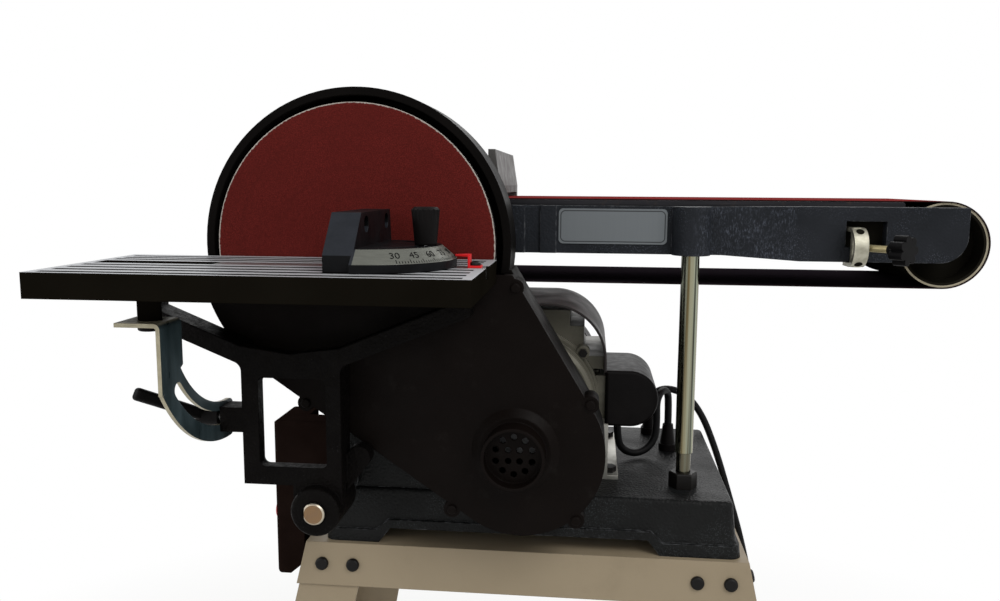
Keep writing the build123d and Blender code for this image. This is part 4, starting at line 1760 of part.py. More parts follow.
def coil_tie():
    """Strap round the coil's turns."""
    turn = COIL_START + 360 * TIE_AT
    inner_r = COIL_R - COIL_PITCH * (1 + TIE_AT) - CORD_R - TIE_ROOM
    outer_r = COIL_R - COIL_PITCH * TIE_AT + CORD_R + TIE_ROOM
    low, high = FLOOR + TIE_T, CORD_FLOOR + COIL_PITCH + CORD_R + TIE_ROOM
    strap = block(inner_r - TIE_T, outer_r + TIE_T, -TIE_W / 2, TIE_W / 2, low - TIE_T, high + TIE_T)
    strap -= block(inner_r, outer_r, -TIE_W, TIE_W, low, high)
    return Pos(*COIL_CENTRE) * Rot(0, 0, turn) * strap


def mains_plug():
    """Round two pin plug on the coil's outer end, lying on the floor."""
    _, _, start, heading = coil_ends()
    plane = Plane(start, x_dir=(-heading.Y, heading.X, 0), z_dir=heading)
    half_h = start.Z - FLOOR
    body = RectangleRounded(PLUG_W, 2 * half_h, half_h * PLUG_ROUND)
    neck = extrude(Circle(CORD_R + PLUG_NECK_WALL), PLUG_NECK_L, taper=-PLUG_NECK_TAPER)
    plug = neck + extrude(Pos(0, 0, PLUG_NECK_L) * body, PLUG_L)
    plug = fillet(plug.edges().group_by(Axis.Z)[-1], PLUG_EDGE_R)
    prong_z = PLUG_NECK_L + PLUG_L + PRONG_L / 2
    for side in (-1, 1):
        prong = Pos(side * PRONG_PITCH / 2, 0, prong_z) * Cylinder(PRONG_R, PRONG_L)
        plug += fillet(prong.edges().group_by(Axis.Z)[-1], PRONG_TIP_R)
    return plane * plug


def cord_glands():
    """Cord glands in the base's top: a collar and a tapered strain relief each."""
    glands = []
    stem_z = BASE_TOP - GLAND_STEM_L
    for x, y in (LEAD_GLAND, MAINS_GLAND):
        glands.append(turned_z(
            x, y, (0, stem_z), (GLAND_STEM_R, stem_z), (GLAND_STEM_R, BASE_TOP), (GLAND_R, BASE_TOP),
            (GLAND_R, BASE_TOP + GLAND_H), (GLAND_R - GLAND_LIP, BASE_TOP + GLAND_H),
            (GLAND_TIP_R, GLAND_TOP), (0, GLAND_TOP)
        ).solid())
    return Compound(glands)


# All the nodes

def make_nodes():
    """Every piece by its name, in the spindle's frame."""
    nodes = stand()
    shaft, nut = post()
    start, stop = button_places()
    nodes.update(
        machine_base=machine_base(), machine_bolts=Compound(base_bolts() + motor_bolts() + bell_bolts()),
        support_post=shaft, post_nut=nut,
        table_bar=table_bar(), spindle_pedestal=spindle_pedestal(),
        spindle_bearings=Compound([bearing(y).solid() for y in BEARING_YS]),
        guard_housing=guard_housing(), front_cover=front_cover(), cover_screws=cover_screws(),
        spindle_shaft=Compound([spindle_shaft().solid(), drum_nut().solid()]), disc_plate=disc_plate(),
        sanding_disc=sanding_disc(),
        spindle_pulley=pulley(0, 0, SPINDLE_PULLEY_R, SPINDLE_R), drive_drum=drive_drum(),
        motor_pulley=pulley(MOTOR_X, MOTOR_Z, MOTOR_PULLEY_R, MOTOR_SHAFT_R), drive_v_belt=drive_v_belt(),
        motor_cradle=motor_cradle(), motor_body=motor_body(), motor_stator=motor_stator(),
        motor_front_bell=motor_front_bell(), motor_shroud=motor_shroud(),
        motor_fan_cover=motor_fan_cover(), motor_shaft=motor_shaft(), motor_fan=motor_fan(),
        capacitor_box=capacitor_box(),
        belt_arm=belt_arm(), platen=platen(), sanding_belt=sanding_belt(), work_stop=work_stop(),
        idler_slide=idler_slide(), idler_bracket=idler_bracket(), idler_roller=idler_roller(),
        tracking_yoke=tracking_yoke(), yoke_pin=yoke_pin(), tracking_knob=tracking_knob(),
        sander_table=sander_table(), table_bracket=table_bracket(),
        bracket_pins=Compound(hinge_pins() + [clamp_screw().solid(), lock_stud().solid()]),
        sector_plate=sector_plate(), sector_bolt=sector_bolt(),
        lock_lever=lock_lever(), miter_bar=miter_bar(), miter_head=miter_head(), miter_knob=miter_knob(),
        miter_pointer=miter_pointer(),
        switch_box=switch_box(), start_button=button(start), stop_button=button(stop),
        cord_glands=cord_glands(), motor_lead=cord_tube("motor_lead", LEAD_ROUTE), mains_cord=mains_cord(),
        mains_coil=mains_coil(), coil_tie=coil_tie(), mains_plug=mains_plug()
    )
    return nodes


os.makedirs("parts", exist_ok=True)
TO_PART = Pos(-STAND_X, -STAND_Y, -FLOOR)
for node_name, node_shape in make_nodes().items():
    export_step(TO_PART * node_shape, f"parts/{node_name}.step")
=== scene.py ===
from math import cos, pi, radians, sin

import bmesh
import bpy
from mathutils import Matrix, Vector


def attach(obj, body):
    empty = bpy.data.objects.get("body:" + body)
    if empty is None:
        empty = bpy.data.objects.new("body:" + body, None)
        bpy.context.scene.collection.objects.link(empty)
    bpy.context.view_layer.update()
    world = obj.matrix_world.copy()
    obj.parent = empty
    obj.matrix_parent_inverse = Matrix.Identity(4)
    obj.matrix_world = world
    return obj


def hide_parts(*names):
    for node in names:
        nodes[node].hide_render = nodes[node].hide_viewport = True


# Looks of a belt and disc sander on its stand. Metres, in the part's own frame.
# Places read off the machine are given in millimetres from the spindle's axis at the disc's face.

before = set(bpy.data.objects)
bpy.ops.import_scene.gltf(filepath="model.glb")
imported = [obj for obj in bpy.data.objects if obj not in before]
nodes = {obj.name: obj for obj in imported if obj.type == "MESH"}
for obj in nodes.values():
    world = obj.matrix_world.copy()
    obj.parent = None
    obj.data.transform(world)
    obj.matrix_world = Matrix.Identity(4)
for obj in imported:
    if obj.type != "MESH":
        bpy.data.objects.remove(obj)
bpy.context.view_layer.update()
MM = 0.001
SPINDLE = Vector((-135.5, -159.5, 887.0))
AXIS_X, AXIS_Z = SPINDLE.x * MM, SPINDLE.z * MM


def at(x, y, z):
    """Point of the spindle's frame, in millimetres, as a point of the part's frame, in metres."""
    return (Vector((x, y, z)) + SPINDLE) * MM


def placed(name, data):
    """New object in the scene."""
    made = bpy.data.objects.new(name, data)
    bpy.context.scene.collection.objects.link(made)
    return made


# Camera

YAW, PITCH, ROLL = radians(6.0), radians(7.73), radians(0.34)
FOCAL_PX, IMAGE_W, SENSOR = 862.48, 1000.0, 36.0
CAMERA_PLACE = (189.89, -681.08, 50.9)
CLIP_START = 0.02
look = Vector((-sin(YAW) * cos(PITCH), cos(YAW) * cos(PITCH), -sin(PITCH)))
level = Vector((cos(YAW), sin(YAW), 0))
upright = level.cross(look)
right = level * cos(ROLL) + upright * sin(ROLL)
upward = upright * cos(ROLL) - level * sin(ROLL)
turn = Matrix((right, upward, -look)).transposed().to_4x4()
camera_data = bpy.data.cameras.new("camera")
camera_data.sensor_width = SENSOR
camera_data.lens = FOCAL_PX / IMAGE_W * SENSOR
camera_data.clip_start = CLIP_START
camera = placed("camera", camera_data)
camera.matrix_world = Matrix.Translation(at(*CAMERA_PLACE)) @ turn
bpy.context.scene.camera = camera
bpy.context.scene.view_settings.view_transform = "Standard"


# Finishes

NOISE_SPAN = (0.3, 0.7)
EDGE_SAMPLES = 6
EDGE_TURN = (0.995, 0.9)


def grey(tone):
    """Colour without a tint."""
    return (tone,) * 3


class Paint:
    """A finish and short ways to build it up. Its places are the piece's own, in metres."""

    def __init__(self, name, rough=0.5, metal=0.0, spec=0.5):
        self.mat = bpy.data.materials.new(name)
        self.mat.use_nodes = True
        self.tree = self.mat.node_tree
        self.shader = self.tree.nodes["Principled BSDF"]
        self.set("Roughness", rough)
        self.set("Metallic", metal)
        self.set("Specular IOR Level", spec)
        coord = self.tree.nodes.new("ShaderNodeTexCoord")
        self.place = coord.outputs["Object"]
        self.normal = coord.outputs["Normal"]

    def put(self, socket, value):
        """Links an output to a socket, or sets a constant on it."""
        if isinstance(value, bpy.types.NodeSocket):
            self.tree.links.new(value, socket)
        elif isinstance(value, tuple) and len(value) == 3 and socket.type == "RGBA":
            socket.default_value = (*value, 1)
        else:
            socket.default_value = value

    def set(self, name, value):
        self.put(self.shader.inputs[name], value)

    def node(self, kind, inputs, out=0, **settings):
        made = self.tree.nodes.new(kind)
        for key, value in settings.items():
            setattr(made, key, value)
        for key, value in inputs.items():
            self.put(made.inputs[key], value)
        return made.outputs[out]

    # Sums

    def calc(self, operation, a, b=0.0):
        return self.node("ShaderNodeMath", {0: a, 1: b}, operation=operation)

    def times(self, product, *factors):
        for factor in factors:
            product = self.calc("MULTIPLY", product, factor)
        return product

    def off(self, value, centre):
        """How far a value lies from a centre, to either side."""
        return self.calc("ABSOLUTE", self.calc("SUBTRACT", value, centre))

    def length(self, a, b):
        return self.calc("SQRT", self.calc("ADD", self.times(a, a), self.times(b, b)))

    def dot(self, a, b):
        return self.node("ShaderNodeVectorMath", {0: a, 1: b}, out=1, operation="DOT_PRODUCT")

    def split(self, vector):
        made = self.tree.nodes.new("ShaderNodeSeparateXYZ")
        self.put(made.inputs[0], vector)
        return made.outputs

    def span(self, value, low, high, out_low=0.0, out_high=1.0):
        inputs = {"Value": value, "From Min": low, "From Max": high}
        inputs.update({"To Min": out_low, "To Max": out_high})
        return self.node("ShaderNodeMapRange", inputs)

    def blend(self, factor, a, b):
        return self.node("ShaderNodeMix", {0: factor, 6: a, 7: b}, out=2, data_type="RGBA")

    # Patterns

    def stretch(self, scale, shift=(0, 0, 0)):
        inputs = {"Vector": self.place, "Scale": scale, "Location": shift}
        return self.node("ShaderNodeMapping", inputs)

    def noise(self, scale, detail=3.0, rough=0.55, place=None, warp=0.0):
        inputs = {"Vector": place or self.place, "Scale": scale, "Detail": detail}
        inputs.update({"Roughness": rough, "Distortion": warp})
        return self.node("ShaderNodeTexNoise", inputs)

    def streaks(self, scale, detail=3.0, rough=0.6, shift=(0, 0, 0), warp=0.0):
        """Noise with a scale of its own along each axis."""
        return self.noise(1.0, detail, rough, self.stretch(scale, shift), warp)

    def cells(self, scale):
        return self.node("ShaderNodeTexVoronoi", {"Vector": self.place, "Scale": scale})

    def wave(self, scale, place=None, warp=0.0, way="X"):
        inputs = {"Vector": place or self.place, "Scale": scale, "Distortion": warp}
        return self.node("ShaderNodeTexWave", inputs, out=1, bands_direction=way)

    def spotted(self, dark, light, scale, contrast=0.5):
        """Colour that drifts between two tones in soft patches."""
        drift = self.span(self.noise(scale, 4.0), 0.5 - contrast / 2, 0.5 + contrast / 2)
        return self.blend(drift, dark, light)

    # Where on the piece

    def radius(self, x, z):
        """Distance from an axis that runs from front to back."""
        px, _, pz = self.split(self.place)
        return self.length(self.calc("SUBTRACT", px, x), self.calc("SUBTRACT", pz, z))

    def facing(self, axis, low=0.5, high=0.8):
        """One on faces square to an axis, nothing on faces along it."""
        return self.span(self.calc("ABSOLUTE", self.split(self.normal)[axis]), low, high)

    def soft_edges(self, radius):
        return self.node("ShaderNodeBevel", {"Radius": radius}, samples=EDGE_SAMPLES)

    def edges(self, radius):
        """One on sharp edges, falling to nothing within the radius."""
        geometry = self.tree.nodes.new("ShaderNodeNewGeometry")
        return self.span(self.dot(self.soft_edges(radius), geometry.outputs["Normal"]), *EDGE_TURN)

    # Surface

    def gloss(self, pattern, low, high):
        """Roughness that follows a pattern between two levels."""
        self.set("Roughness", self.span(pattern, *NOISE_SPAN, low, high))

    def bumps(self, height, strength, depth, edge=None):
        """Fine relief, with the sharp edges softened by a radius where one is given."""
        inputs = {"Height": height, "Strength": strength, "Distance": depth}
        if edge:
            inputs["Normal"] = self.soft_edges(edge)
        self.set("Normal", self.node("ShaderNodeBump", inputs))


RUB_GLINT_FADE_IN, RUB_GLINT_FADE_OUT = 10.0 * MM, 4.0 * MM


def rubbed_share(p, x0, x1):
    """Fine upright scratches between two places along the machine, with painted glints of
    reflection: pale bluish strokes standing in for light caught on the paint.
    """
    px = p.split(p.place)[0]
    inside = p.times(p.span(px, x0 - RUB_GLINT_FADE_IN, x0), p.span(px, x1, x1 - RUB_GLINT_FADE_OUT))
    strokes = p.span(p.streaks((760.0, 760.0, 260.0), 4.0, 0.7), 0.50, 0.68)
    patches = p.span(p.noise(70.0), 0.38, 0.62, 0.35, 1.0)
    return p.times(inside, p.times(strokes, patches), 0.36)


def hammered_paint(name, low, high, glint, sparkle, depth, worn=None):
    """Dark hammered paint on castings, with small glints and pale scuffs along the edges, painted
    shade on faces turned upwards and, where a band is given, painted glints of reflection among
    worn scratches.
    """
    p = Paint(name, spec=0.08)
    fleck = p.span(p.cells(800.0), 0.34, 0.05)
    patch = p.span(p.noise(30.0, 2.0), 0.44, 0.62)
    tone = p.blend(p.times(fleck, patch, sparkle), p.spotted(low, high, 14.0), glint)
    # Painted glints: the worn band takes the pale glint colour, partly wear and partly painted
    # reflection.
    if worn:
        tone = p.blend(rubbed_share(p, *worn), tone, glint)
    scuff = p.times(p.edges(0.0012), p.span(p.noise(160.0, 4.0), 0.46, 0.60), 0.6)
    tone = p.blend(scuff, tone, (0.15, 0.155, 0.165))
    # Painted shade: faces turned upwards are darkened halfway, standing in for less light on the
    # tops.
    top = p.times(p.span(p.split(p.normal)[2], 0.6, 0.9), 0.5)
    p.set("Base Color", p.blend(top, tone, (0.0045, 0.0050, 0.0052)))
    p.gloss(p.noise(22.0), 0.34, 0.55)
    peel = p.calc("ADD", p.noise(520.0, 2.0, 0.4), p.times(p.cells(380.0), 0.8))
    p.bumps(peel, 0.6, depth, 0.0016)
    return p.mat


def matt(name, low, high, rough, spec, edge, grain=900.0, grain_depth=0.0003):
    """Matt finish or ink, with a fine grain, a little dust and a slight drift in tone."""
    p = Paint(name, spec=spec)
    dust = p.times(p.span(p.noise(45.0, 6.0, 0.7), 0.60, 0.82), 0.12)
    p.set("Base Color", p.blend(dust, p.spotted(low, high, 18.0, 0.6), (0.05, 0.047, 0.043)))
    p.gloss(p.noise(35.0), rough - 0.07, rough + 0.10)
    p.bumps(p.noise(grain, 3.0, 0.6), 0.35, grain_depth, edge)
    return p.mat


def cast_black():
    """Black paint over a coarse sand casting: pitted, with small glints."""
    p = Paint("cast_black", spec=0.04)
    tone = p.spotted((0.0020, 0.0016, 0.0015), (0.0046, 0.0038, 0.0035), 25.0)
    # Painted glints: pale specks of light scattered over the black paint.
    glint_specks, patch = p.span(p.cells(700.0), 0.16, 0.03), p.span(p.noise(90.0, 2.0), 0.55, 0.7)
    p.set("Base Color", p.blend(p.times(glint_specks, patch, 0.6), tone, (0.16, 0.16, 0.165)))
    p.gloss(p.noise(160.0), 0.36, 0.62)
    sand = p.calc("ADD", p.noise(650.0, 4.0, 0.65), p.times(p.cells(380.0), 0.8))
    p.bumps(sand, 0.55, 0.0009, 0.0018)
    return p.mat


GROOVES = (-140.0, -123.0, -106.0, -88.0, -44.0, -30.0, -16.0)
GROOVE_BAND, GROOVE_SOFT, GROOVE_HALF = 3.3 * MM, 0.3 * MM, 144.0 * MM
TABLE_MIDDLE, TABLE_TOP_LOW = at(-35.25, 0, 0).x, at(0, 0, -9.4).z


def table_metal():
    """Table casting: bare machined top between black grooves, black paint all round and below."""
    p = Paint("table_metal", spec=0.0)
    px, py, pz = p.split(p.place)
    flat = p.calc("GREATER_THAN", p.split(p.normal)[2], 0.9)
    top = p.times(flat, p.calc("GREATER_THAN", pz, TABLE_TOP_LOW))
    past = p.calc("MAXIMUM", p.calc("SUBTRACT", p.off(px, TABLE_MIDDLE), GROOVE_HALF), 0.0)
    beyond = p.span(past, 0.0, GROOVE_SOFT)
    for groove in GROOVES:
        aside = p.off(py, at(0, groove, 0).y)
        clear = p.span(aside, GROOVE_BAND, GROOVE_BAND + GROOVE_SOFT)
        top = p.times(top, p.calc("MAXIMUM", clear, beyond))
    lines = p.streaks((25.0, 900.0, 25.0))
    metal = p.blend(lines, (0.40, 0.41, 0.43), (0.52, 0.53, 0.55))
    dull = p.span(p.noise(30.0, 4.0), 0.50, 0.80, 0.0, 0.30)
    metal = p.blend(dull, metal, (0.18, 0.18, 0.19))
    black = p.spotted((0.0048, 0.0040, 0.0028), (0.0076, 0.0064, 0.0046), 16.0, 0.6)
    p.set("Base Color", p.blend(top, black, metal))
    p.set("Metallic", p.times(top, 0.45))
    p.set("Roughness", p.blend(top, grey(0.45), p.blend(lines, grey(0.34), grey(0.46))))
    p.bumps(p.blend(top, p.noise(700.0, 2.0), lines), 0.08, 0.0002, 0.0008)
    return p.mat


def blue_zinc():
    """Blue passivated zinc on a pressed plate, yellowish on its cut edges."""
    p = Paint("blue_zinc", metal=0.25, spec=0.15)
    streak = p.streaks((60.0, 45.0, 18.0), 4.0, warp=0.6)
    face = p.blend(p.span(streak, *NOISE_SPAN), (0.021, 0.034, 0.038), (0.070, 0.102, 0.114))
    edge = p.blend(p.noise(120.0), (0.26, 0.235, 0.16), (0.50, 0.46, 0.34))
    p.set("Base Color", p.blend(p.facing(0), edge, face))
    p.gloss(streak, 0.26, 0.42)
    p.bumps(p.noise(500.0), 0.12, 0.0003, 0.0004)
    return p.mat


POST_NECK_TOP = at(0, 0, -187.3).z
POST_LENGTHWISE_SCALE = (230.0, 230.0, 1.6)


def post_zinc():
    """Bright plated post with streaks along its length, whose dark and light bands are a painted
    reflection of a room, yellowish stains and a duller neck.
    """
    p = Paint("post_zinc", metal=1.0)
    streak = p.streaks(POST_LENGTHWISE_SCALE, 3.0, 0.55, warp=0.15)
    stain = p.span(p.streaks(POST_LENGTHWISE_SCALE, 4.0, 0.6, (0.7, 0.2, 0.4)), 0.45, 0.65)
    # Painted reflection: near black and bright bands along the post stand in for a room mirrored in
    # its polished surface.
    tone = p.blend(p.span(streak, 0.44, 0.62), (0.014, 0.014, 0.010), (0.33, 0.355, 0.275))
    tone = p.blend(p.times(stain, 0.55), tone, (0.22, 0.15, 0.050))
    neck = p.times(p.span(p.split(p.place)[2], POST_NECK_TOP + MM, POST_NECK_TOP), 0.75)
    p.set("Base Color", p.blend(neck, tone, (0.085, 0.078, 0.058)))
    p.gloss(streak, 0.11, 0.28)
    p.bumps(streak, 0.10, 0.0003, 0.0005)
    return p.mat


STRAP_ROWS, STRAP_WARP = 520.0, 0.3


def strap_zinc():
    """Cream plated strap, cross rolled on its face."""
    p = Paint("strap_zinc", rough=0.34, metal=0.85)
    tone = p.spotted((0.26, 0.25, 0.19), (0.54, 0.52, 0.43), 120.0)
    mirrored = p.stretch((1.0, 1.0, -1.0))
    rows = [p.wave(STRAP_ROWS, way, STRAP_WARP, "DIAGONAL") for way in (p.place, mirrored)]
    rolled = p.times(*rows)
    p.set("Base Color", p.blend(p.times(rolled, 0.35), tone, (0.16, 0.14, 0.09)))
    p.bumps(rolled, 0.4, 0.0004, 0.0006)
    return p.mat


def powder_coat():
    """Cream powder coat on the stand's sheet steel, a little dusty and chipped at the edges."""
    p = Paint("powder_coat", spec=0.35)
    tone = p.spotted((0.245, 0.195, 0.126), (0.30, 0.243, 0.164), 7.0, 0.7)
    grime = p.times(p.span(p.noise(11.0, 7.0, 0.7), 0.56, 0.78), 0.4)
    tone = p.blend(grime, tone, (0.17, 0.135, 0.085))
    chip = p.times(p.edges(0.0010), p.span(p.noise(140.0, 4.0), 0.58, 0.66), 0.7)
    p.set("Base Color", p.blend(chip, tone, (0.10, 0.085, 0.065)))
    p.gloss(p.noise(25.0), 0.42, 0.6)
    p.bumps(p.noise(520.0, 2.0, 0.4), 0.18, 0.0004, 0.0011)
    return p.mat


def grit(p, low, high, sparkle):
    """Abrasive grains bound in resin: a grainy colour and its bump height."""
    grains = p.cells(1500.0)
    tone = p.blend(p.span(grains, 0.05, 0.55), high, low)
    cloud = p.span(p.noise(26.0, 5.0, 0.65), 0.35, 0.7)
    tone = p.blend(p.times(cloud, 0.45), tone, low)
    glint = p.span(p.cells(2300.0), 0.10, 0.02)
    return p.blend(p.times(glint, 0.35), tone, sparkle), grains


DISC_R, DISC_FRAY, DISC_RINGS = 114.3 * MM, 0.5 * MM, 90.0


def disc_abrasive():
    """Red-brown cloth disc, darker and loaded with dust in faint rings, its cut edge pale."""
    p = Paint("disc_abrasive", rough=0.85, spec=0.03)
    dark, light, sparkle = (0.080, 0.0105, 0.0088), (0.205, 0.0240, 0.0200), (0.36, 0.08, 0.07)
    tone, grains = grit(p, dark, light, sparkle)
    far = p.radius(AXIS_X, AXIS_Z)
    ring = p.node("ShaderNodeCombineXYZ", {0: p.times(far, DISC_RINGS)})
    worn = p.span(p.noise(1.0, 5.0, 0.65, ring), 0.45, 0.75, 0.0, 0.30)
    tone = p.blend(worn, tone, (0.062, 0.0105, 0.0088))
    fray = p.calc("ADD", far, p.span(p.noise(420.0), *NOISE_SPAN, -DISC_FRAY, DISC_FRAY))
    pale = p.span(fray, DISC_R - 2 * DISC_FRAY, DISC_R - DISC_FRAY)
    tone = p.blend(pale, tone, (0.44, 0.40, 0.36))
    p.set("Base Color", p.blend(p.facing(1), (0.55, 0.52, 0.48), tone))
    p.bumps(grains, 0.5, 0.0003)
    return p.mat


BELT_RUN, BELT_WEAVE = 493.6 * MM, 420.0
SPLICE_X, SPLICE_SLANT, SPLICE_EDGE = 205.0 * MM, 0.6, (1.6 * MM, 0.8 * MM)


def belt_abrasive():
    """Abrasive belt: red grit outside, dark cloth inside, dark cut edges and a slanting splice."""
    p = Paint("belt_abrasive", rough=0.8, spec=0.0)
    dark, light, sparkle = (0.16, 0.022, 0.022), (0.40, 0.060, 0.058), (0.50, 0.16, 0.15)
    outer, grains = grit(p, dark, light, sparkle)
    px, py, pz = p.split(p.place)
    nx, _, nz = p.split(p.normal)
    along = p.calc("SUBTRACT", px, AXIS_X)
    nearest = p.calc("MINIMUM", p.calc("MAXIMUM", along, 0.0), BELT_RUN)
    out_x = p.times(p.calc("SUBTRACT", along, nearest), nx)
    out_z = p.times(p.calc("SUBTRACT", pz, AXIS_Z), nz)
    outside = p.calc("GREATER_THAN", p.calc("ADD", out_x, out_z), 0.0)
    weave = p.times(p.wave(BELT_WEAVE), p.wave(BELT_WEAVE, way="Y"))
    inner = p.blend(weave, (0.021, 0.016, 0.021), (0.042, 0.033, 0.042))
    slant = p.calc("ADD", along, p.times(py, SPLICE_SLANT))
    splice = p.span(p.off(slant, SPLICE_X), *SPLICE_EDGE)
    above = p.calc("GREATER_THAN", pz, AXIS_Z)
    outer = p.blend(p.times(splice, above, 0.7), outer, (0.020, 0.008, 0.008))
    tone = p.blend(outside, inner, outer)
    edge = p.blend(p.noise(160.0), (0.010, 0.005, 0.005), (0.034, 0.016, 0.015))
    p.set("Base Color", p.blend(p.facing(1), tone, edge))
    p.bumps(p.blend(outside, weave, grains), 0.5, 0.0003)
    return p.mat


def turned_steel(name, light, dark, rough, across=(30.0, 900.0, 30.0)):
    """Bare turned or ground steel with fine tool marks."""
    p = Paint(name, metal=1.0)
    marks = p.streaks(across)
    rust = p.times(p.span(p.noise(55.0, 6.0, 0.7), 0.60, 0.78), 0.3)
    p.set("Base Color", p.blend(rust, p.blend(marks, dark, light), (0.16, 0.105, 0.06)))
    p.gloss(marks, rough - 0.06, rough + 0.12)
    p.bumps(marks, 0.12, 0.0003, 0.0005)
    return p.mat


DEEP_BLACK = (0.0075, 0.0068, 0.0050), (0.0125, 0.0115, 0.0090)
ROLLER_R, ROLLER_RIM, ROLLER_SOFT = 36.8 * MM, 1.9 * MM, 0.3 * MM


def roller_black():
    """Idler roller: a bright turned rim round each end, the rest near black, painted shade standing
    in for the shadow inside its ends.
    """
    p = Paint("roller_black", rough=0.5, spec=0.0)
    inner = ROLLER_R - ROLLER_RIM
    far = p.radius(AXIS_X + BELT_RUN, AXIS_Z)
    rim = p.times(p.facing(1), p.span(far, inner, inner + ROLLER_SOFT))
    bright = p.blend(p.noise(160.0), (0.30, 0.265, 0.19), (0.50, 0.45, 0.34))
    # Painted shade: all but the rims take the near black tones.
    p.set("Base Color", p.blend(rim, p.spotted(*DEEP_BLACK, 18.0, 0.6), bright))
    p.bumps(p.noise(900.0), 0.25, 0.0002, 0.0005)
    return p.mat


BAR_X, BAR_Z = -23.5, -208.5
BAR_RINGS, BAR_RIM = 5200.0, (7.2 * MM, 8.0 * MM)


def bar_steel():
    """Table bar: dull steel along its side, coppery with turning rings on its front end."""
    p = Paint("bar_steel", rough=0.36, metal=1.0)
    far = p.radius((SPINDLE.x + BAR_X) * MM, (SPINDLE.z + BAR_Z) * MM)
    rings = p.calc("ADD", p.times(p.calc("SINE", p.times(far, BAR_RINGS)), 0.5), 0.5)
    copper = p.blend(rings, (0.13, 0.078, 0.040), (0.32, 0.205, 0.115))
    dirt = p.span(p.noise(240.0, 4.0), 0.5, 0.7, 0.0, 0.5)
    copper = p.blend(dirt, copper, (0.16, 0.11, 0.08))
    copper = p.blend(p.span(far, *BAR_RIM), copper, (0.52, 0.46, 0.36))
    steel = p.spotted((0.12, 0.115, 0.105), (0.28, 0.275, 0.26), 60.0)
    p.set("Base Color", p.blend(p.facing(1, 0.4), steel, copper))
    p.bumps(rings, 0.10, 0.0002, 0.0006)
    return p.mat


def cast_grey(name, low, high, rough, metal):
    """Die cast light alloy: dull grey with soft stains and a fine skin."""
    p = Paint(name, metal=metal, spec=0.4)
    stain = p.times(p.span(p.noise(48.0, 6.0, 0.7), 0.54, 0.74), 0.6)
    p.set("Base Color", p.blend(stain, p.spotted(low, high, 22.0, 0.6), (0.035, 0.033, 0.030)))
    p.gloss(p.noise(70.0), rough - 0.1, rough + 0.14)
    p.bumps(p.noise(560.0, 3.0, 0.6), 0.25, 0.0004, 0.0010)
    return p.mat


def moulded(name, low, high, rough, spec, grain=1200.0):
    """Moulded plastic or rubber with a fine spark eroded skin."""
    p = Paint(name, spec=spec)
    p.set("Base Color", p.spotted(low, high, 40.0, 0.6))
    p.gloss(p.noise(120.0), rough - 0.06, rough + 0.1)
    p.bumps(p.noise(grain, 2.0, 0.5), 0.2, 0.0002, 0.0007)
    return p.mat


YOKE, YOKE_R = (411.25, 70.0, -0.5), 16.5
KNOB_TURN = radians(50.0)
KNOB_NECK_START, KNOB_THREADS = 30.5 * MM, 6283.0


def knob_plastic():
    """Tracking knob: black moulded head on a yellow plated screw."""
    p = Paint("knob_plastic", rough=0.45, spec=0.04)
    aim = Vector((cos(KNOB_TURN), -sin(KNOB_TURN), 0))
    reach = p.dot(p.place, tuple(aim))
    from_yoke = p.calc("SUBTRACT", reach, at(*YOKE).dot(aim))
    head = p.calc("GREATER_THAN", from_yoke, KNOB_NECK_START)
    threads = p.calc("SINE", p.times(reach, KNOB_THREADS))
    zinc = p.blend(p.span(threads, -1.0, 1.0), (0.16, 0.13, 0.06), (0.55, 0.48, 0.28))
    black = p.spotted((0.0030, 0.0028, 0.0030), (0.0065, 0.0062, 0.0066), 90.0)
    p.set("Base Color", p.blend(head, zinc, black))
    p.set("Metallic", p.calc("SUBTRACT", 1.0, head))
    p.bumps(p.blend(head, threads, p.noise(900.0)), 0.25, 0.0003, 0.0008)
    return p.mat


def winding():
    """Copper winding seen through the motor's openings."""
    p = Paint("winding", rough=0.4, metal=0.6)
    turns = p.wave(380.0, warp=1.5)
    p.set("Base Color", p.blend(turns, (0.05, 0.018, 0.008), (0.32, 0.13, 0.05)))
    p.bumps(turns, 0.5, 0.0006)
    return p.mat


FENCE_FACE = at(33.0, 0, 0).x


def miter_alloy():
    """Miter head: black paint, a bare bevel for the scale and a rubbed near end on the fence."""
    p = Paint("miter_alloy", spec=0.06)
    lean = p.split(p.normal)[2]
    slope = p.times(p.calc("GREATER_THAN", lean, 0.3), p.calc("LESS_THAN", lean, 0.95))
    on_head = p.calc("GREATER_THAN", p.split(p.place)[0], FENCE_FACE)
    bevel = p.times(slope, on_head)
    near = p.times(slope, p.calc("SUBTRACT", 1.0, on_head))
    black = p.spotted((0.0034, 0.0034, 0.0038), (0.0085, 0.0088, 0.0098), 40.0)
    brushed = p.streaks((90.0, 90.0, 900.0), 4.0)
    bare = p.blend(brushed, (0.085, 0.088, 0.076), (0.165, 0.168, 0.148))
    rubbed = p.blend(p.noise(70.0, 5.0, 0.7), (0.011, 0.0125, 0.016), (0.028, 0.031, 0.038))
    p.set("Base Color", p.blend(near, p.blend(bevel, black, bare), rubbed))
    p.set("Metallic", p.times(bevel, 0.6))
    p.gloss(p.noise(60.0), 0.34, 0.50)
    p.bumps(p.noise(700.0), 0.25, 0.0003, 0.0009)
    return p.mat


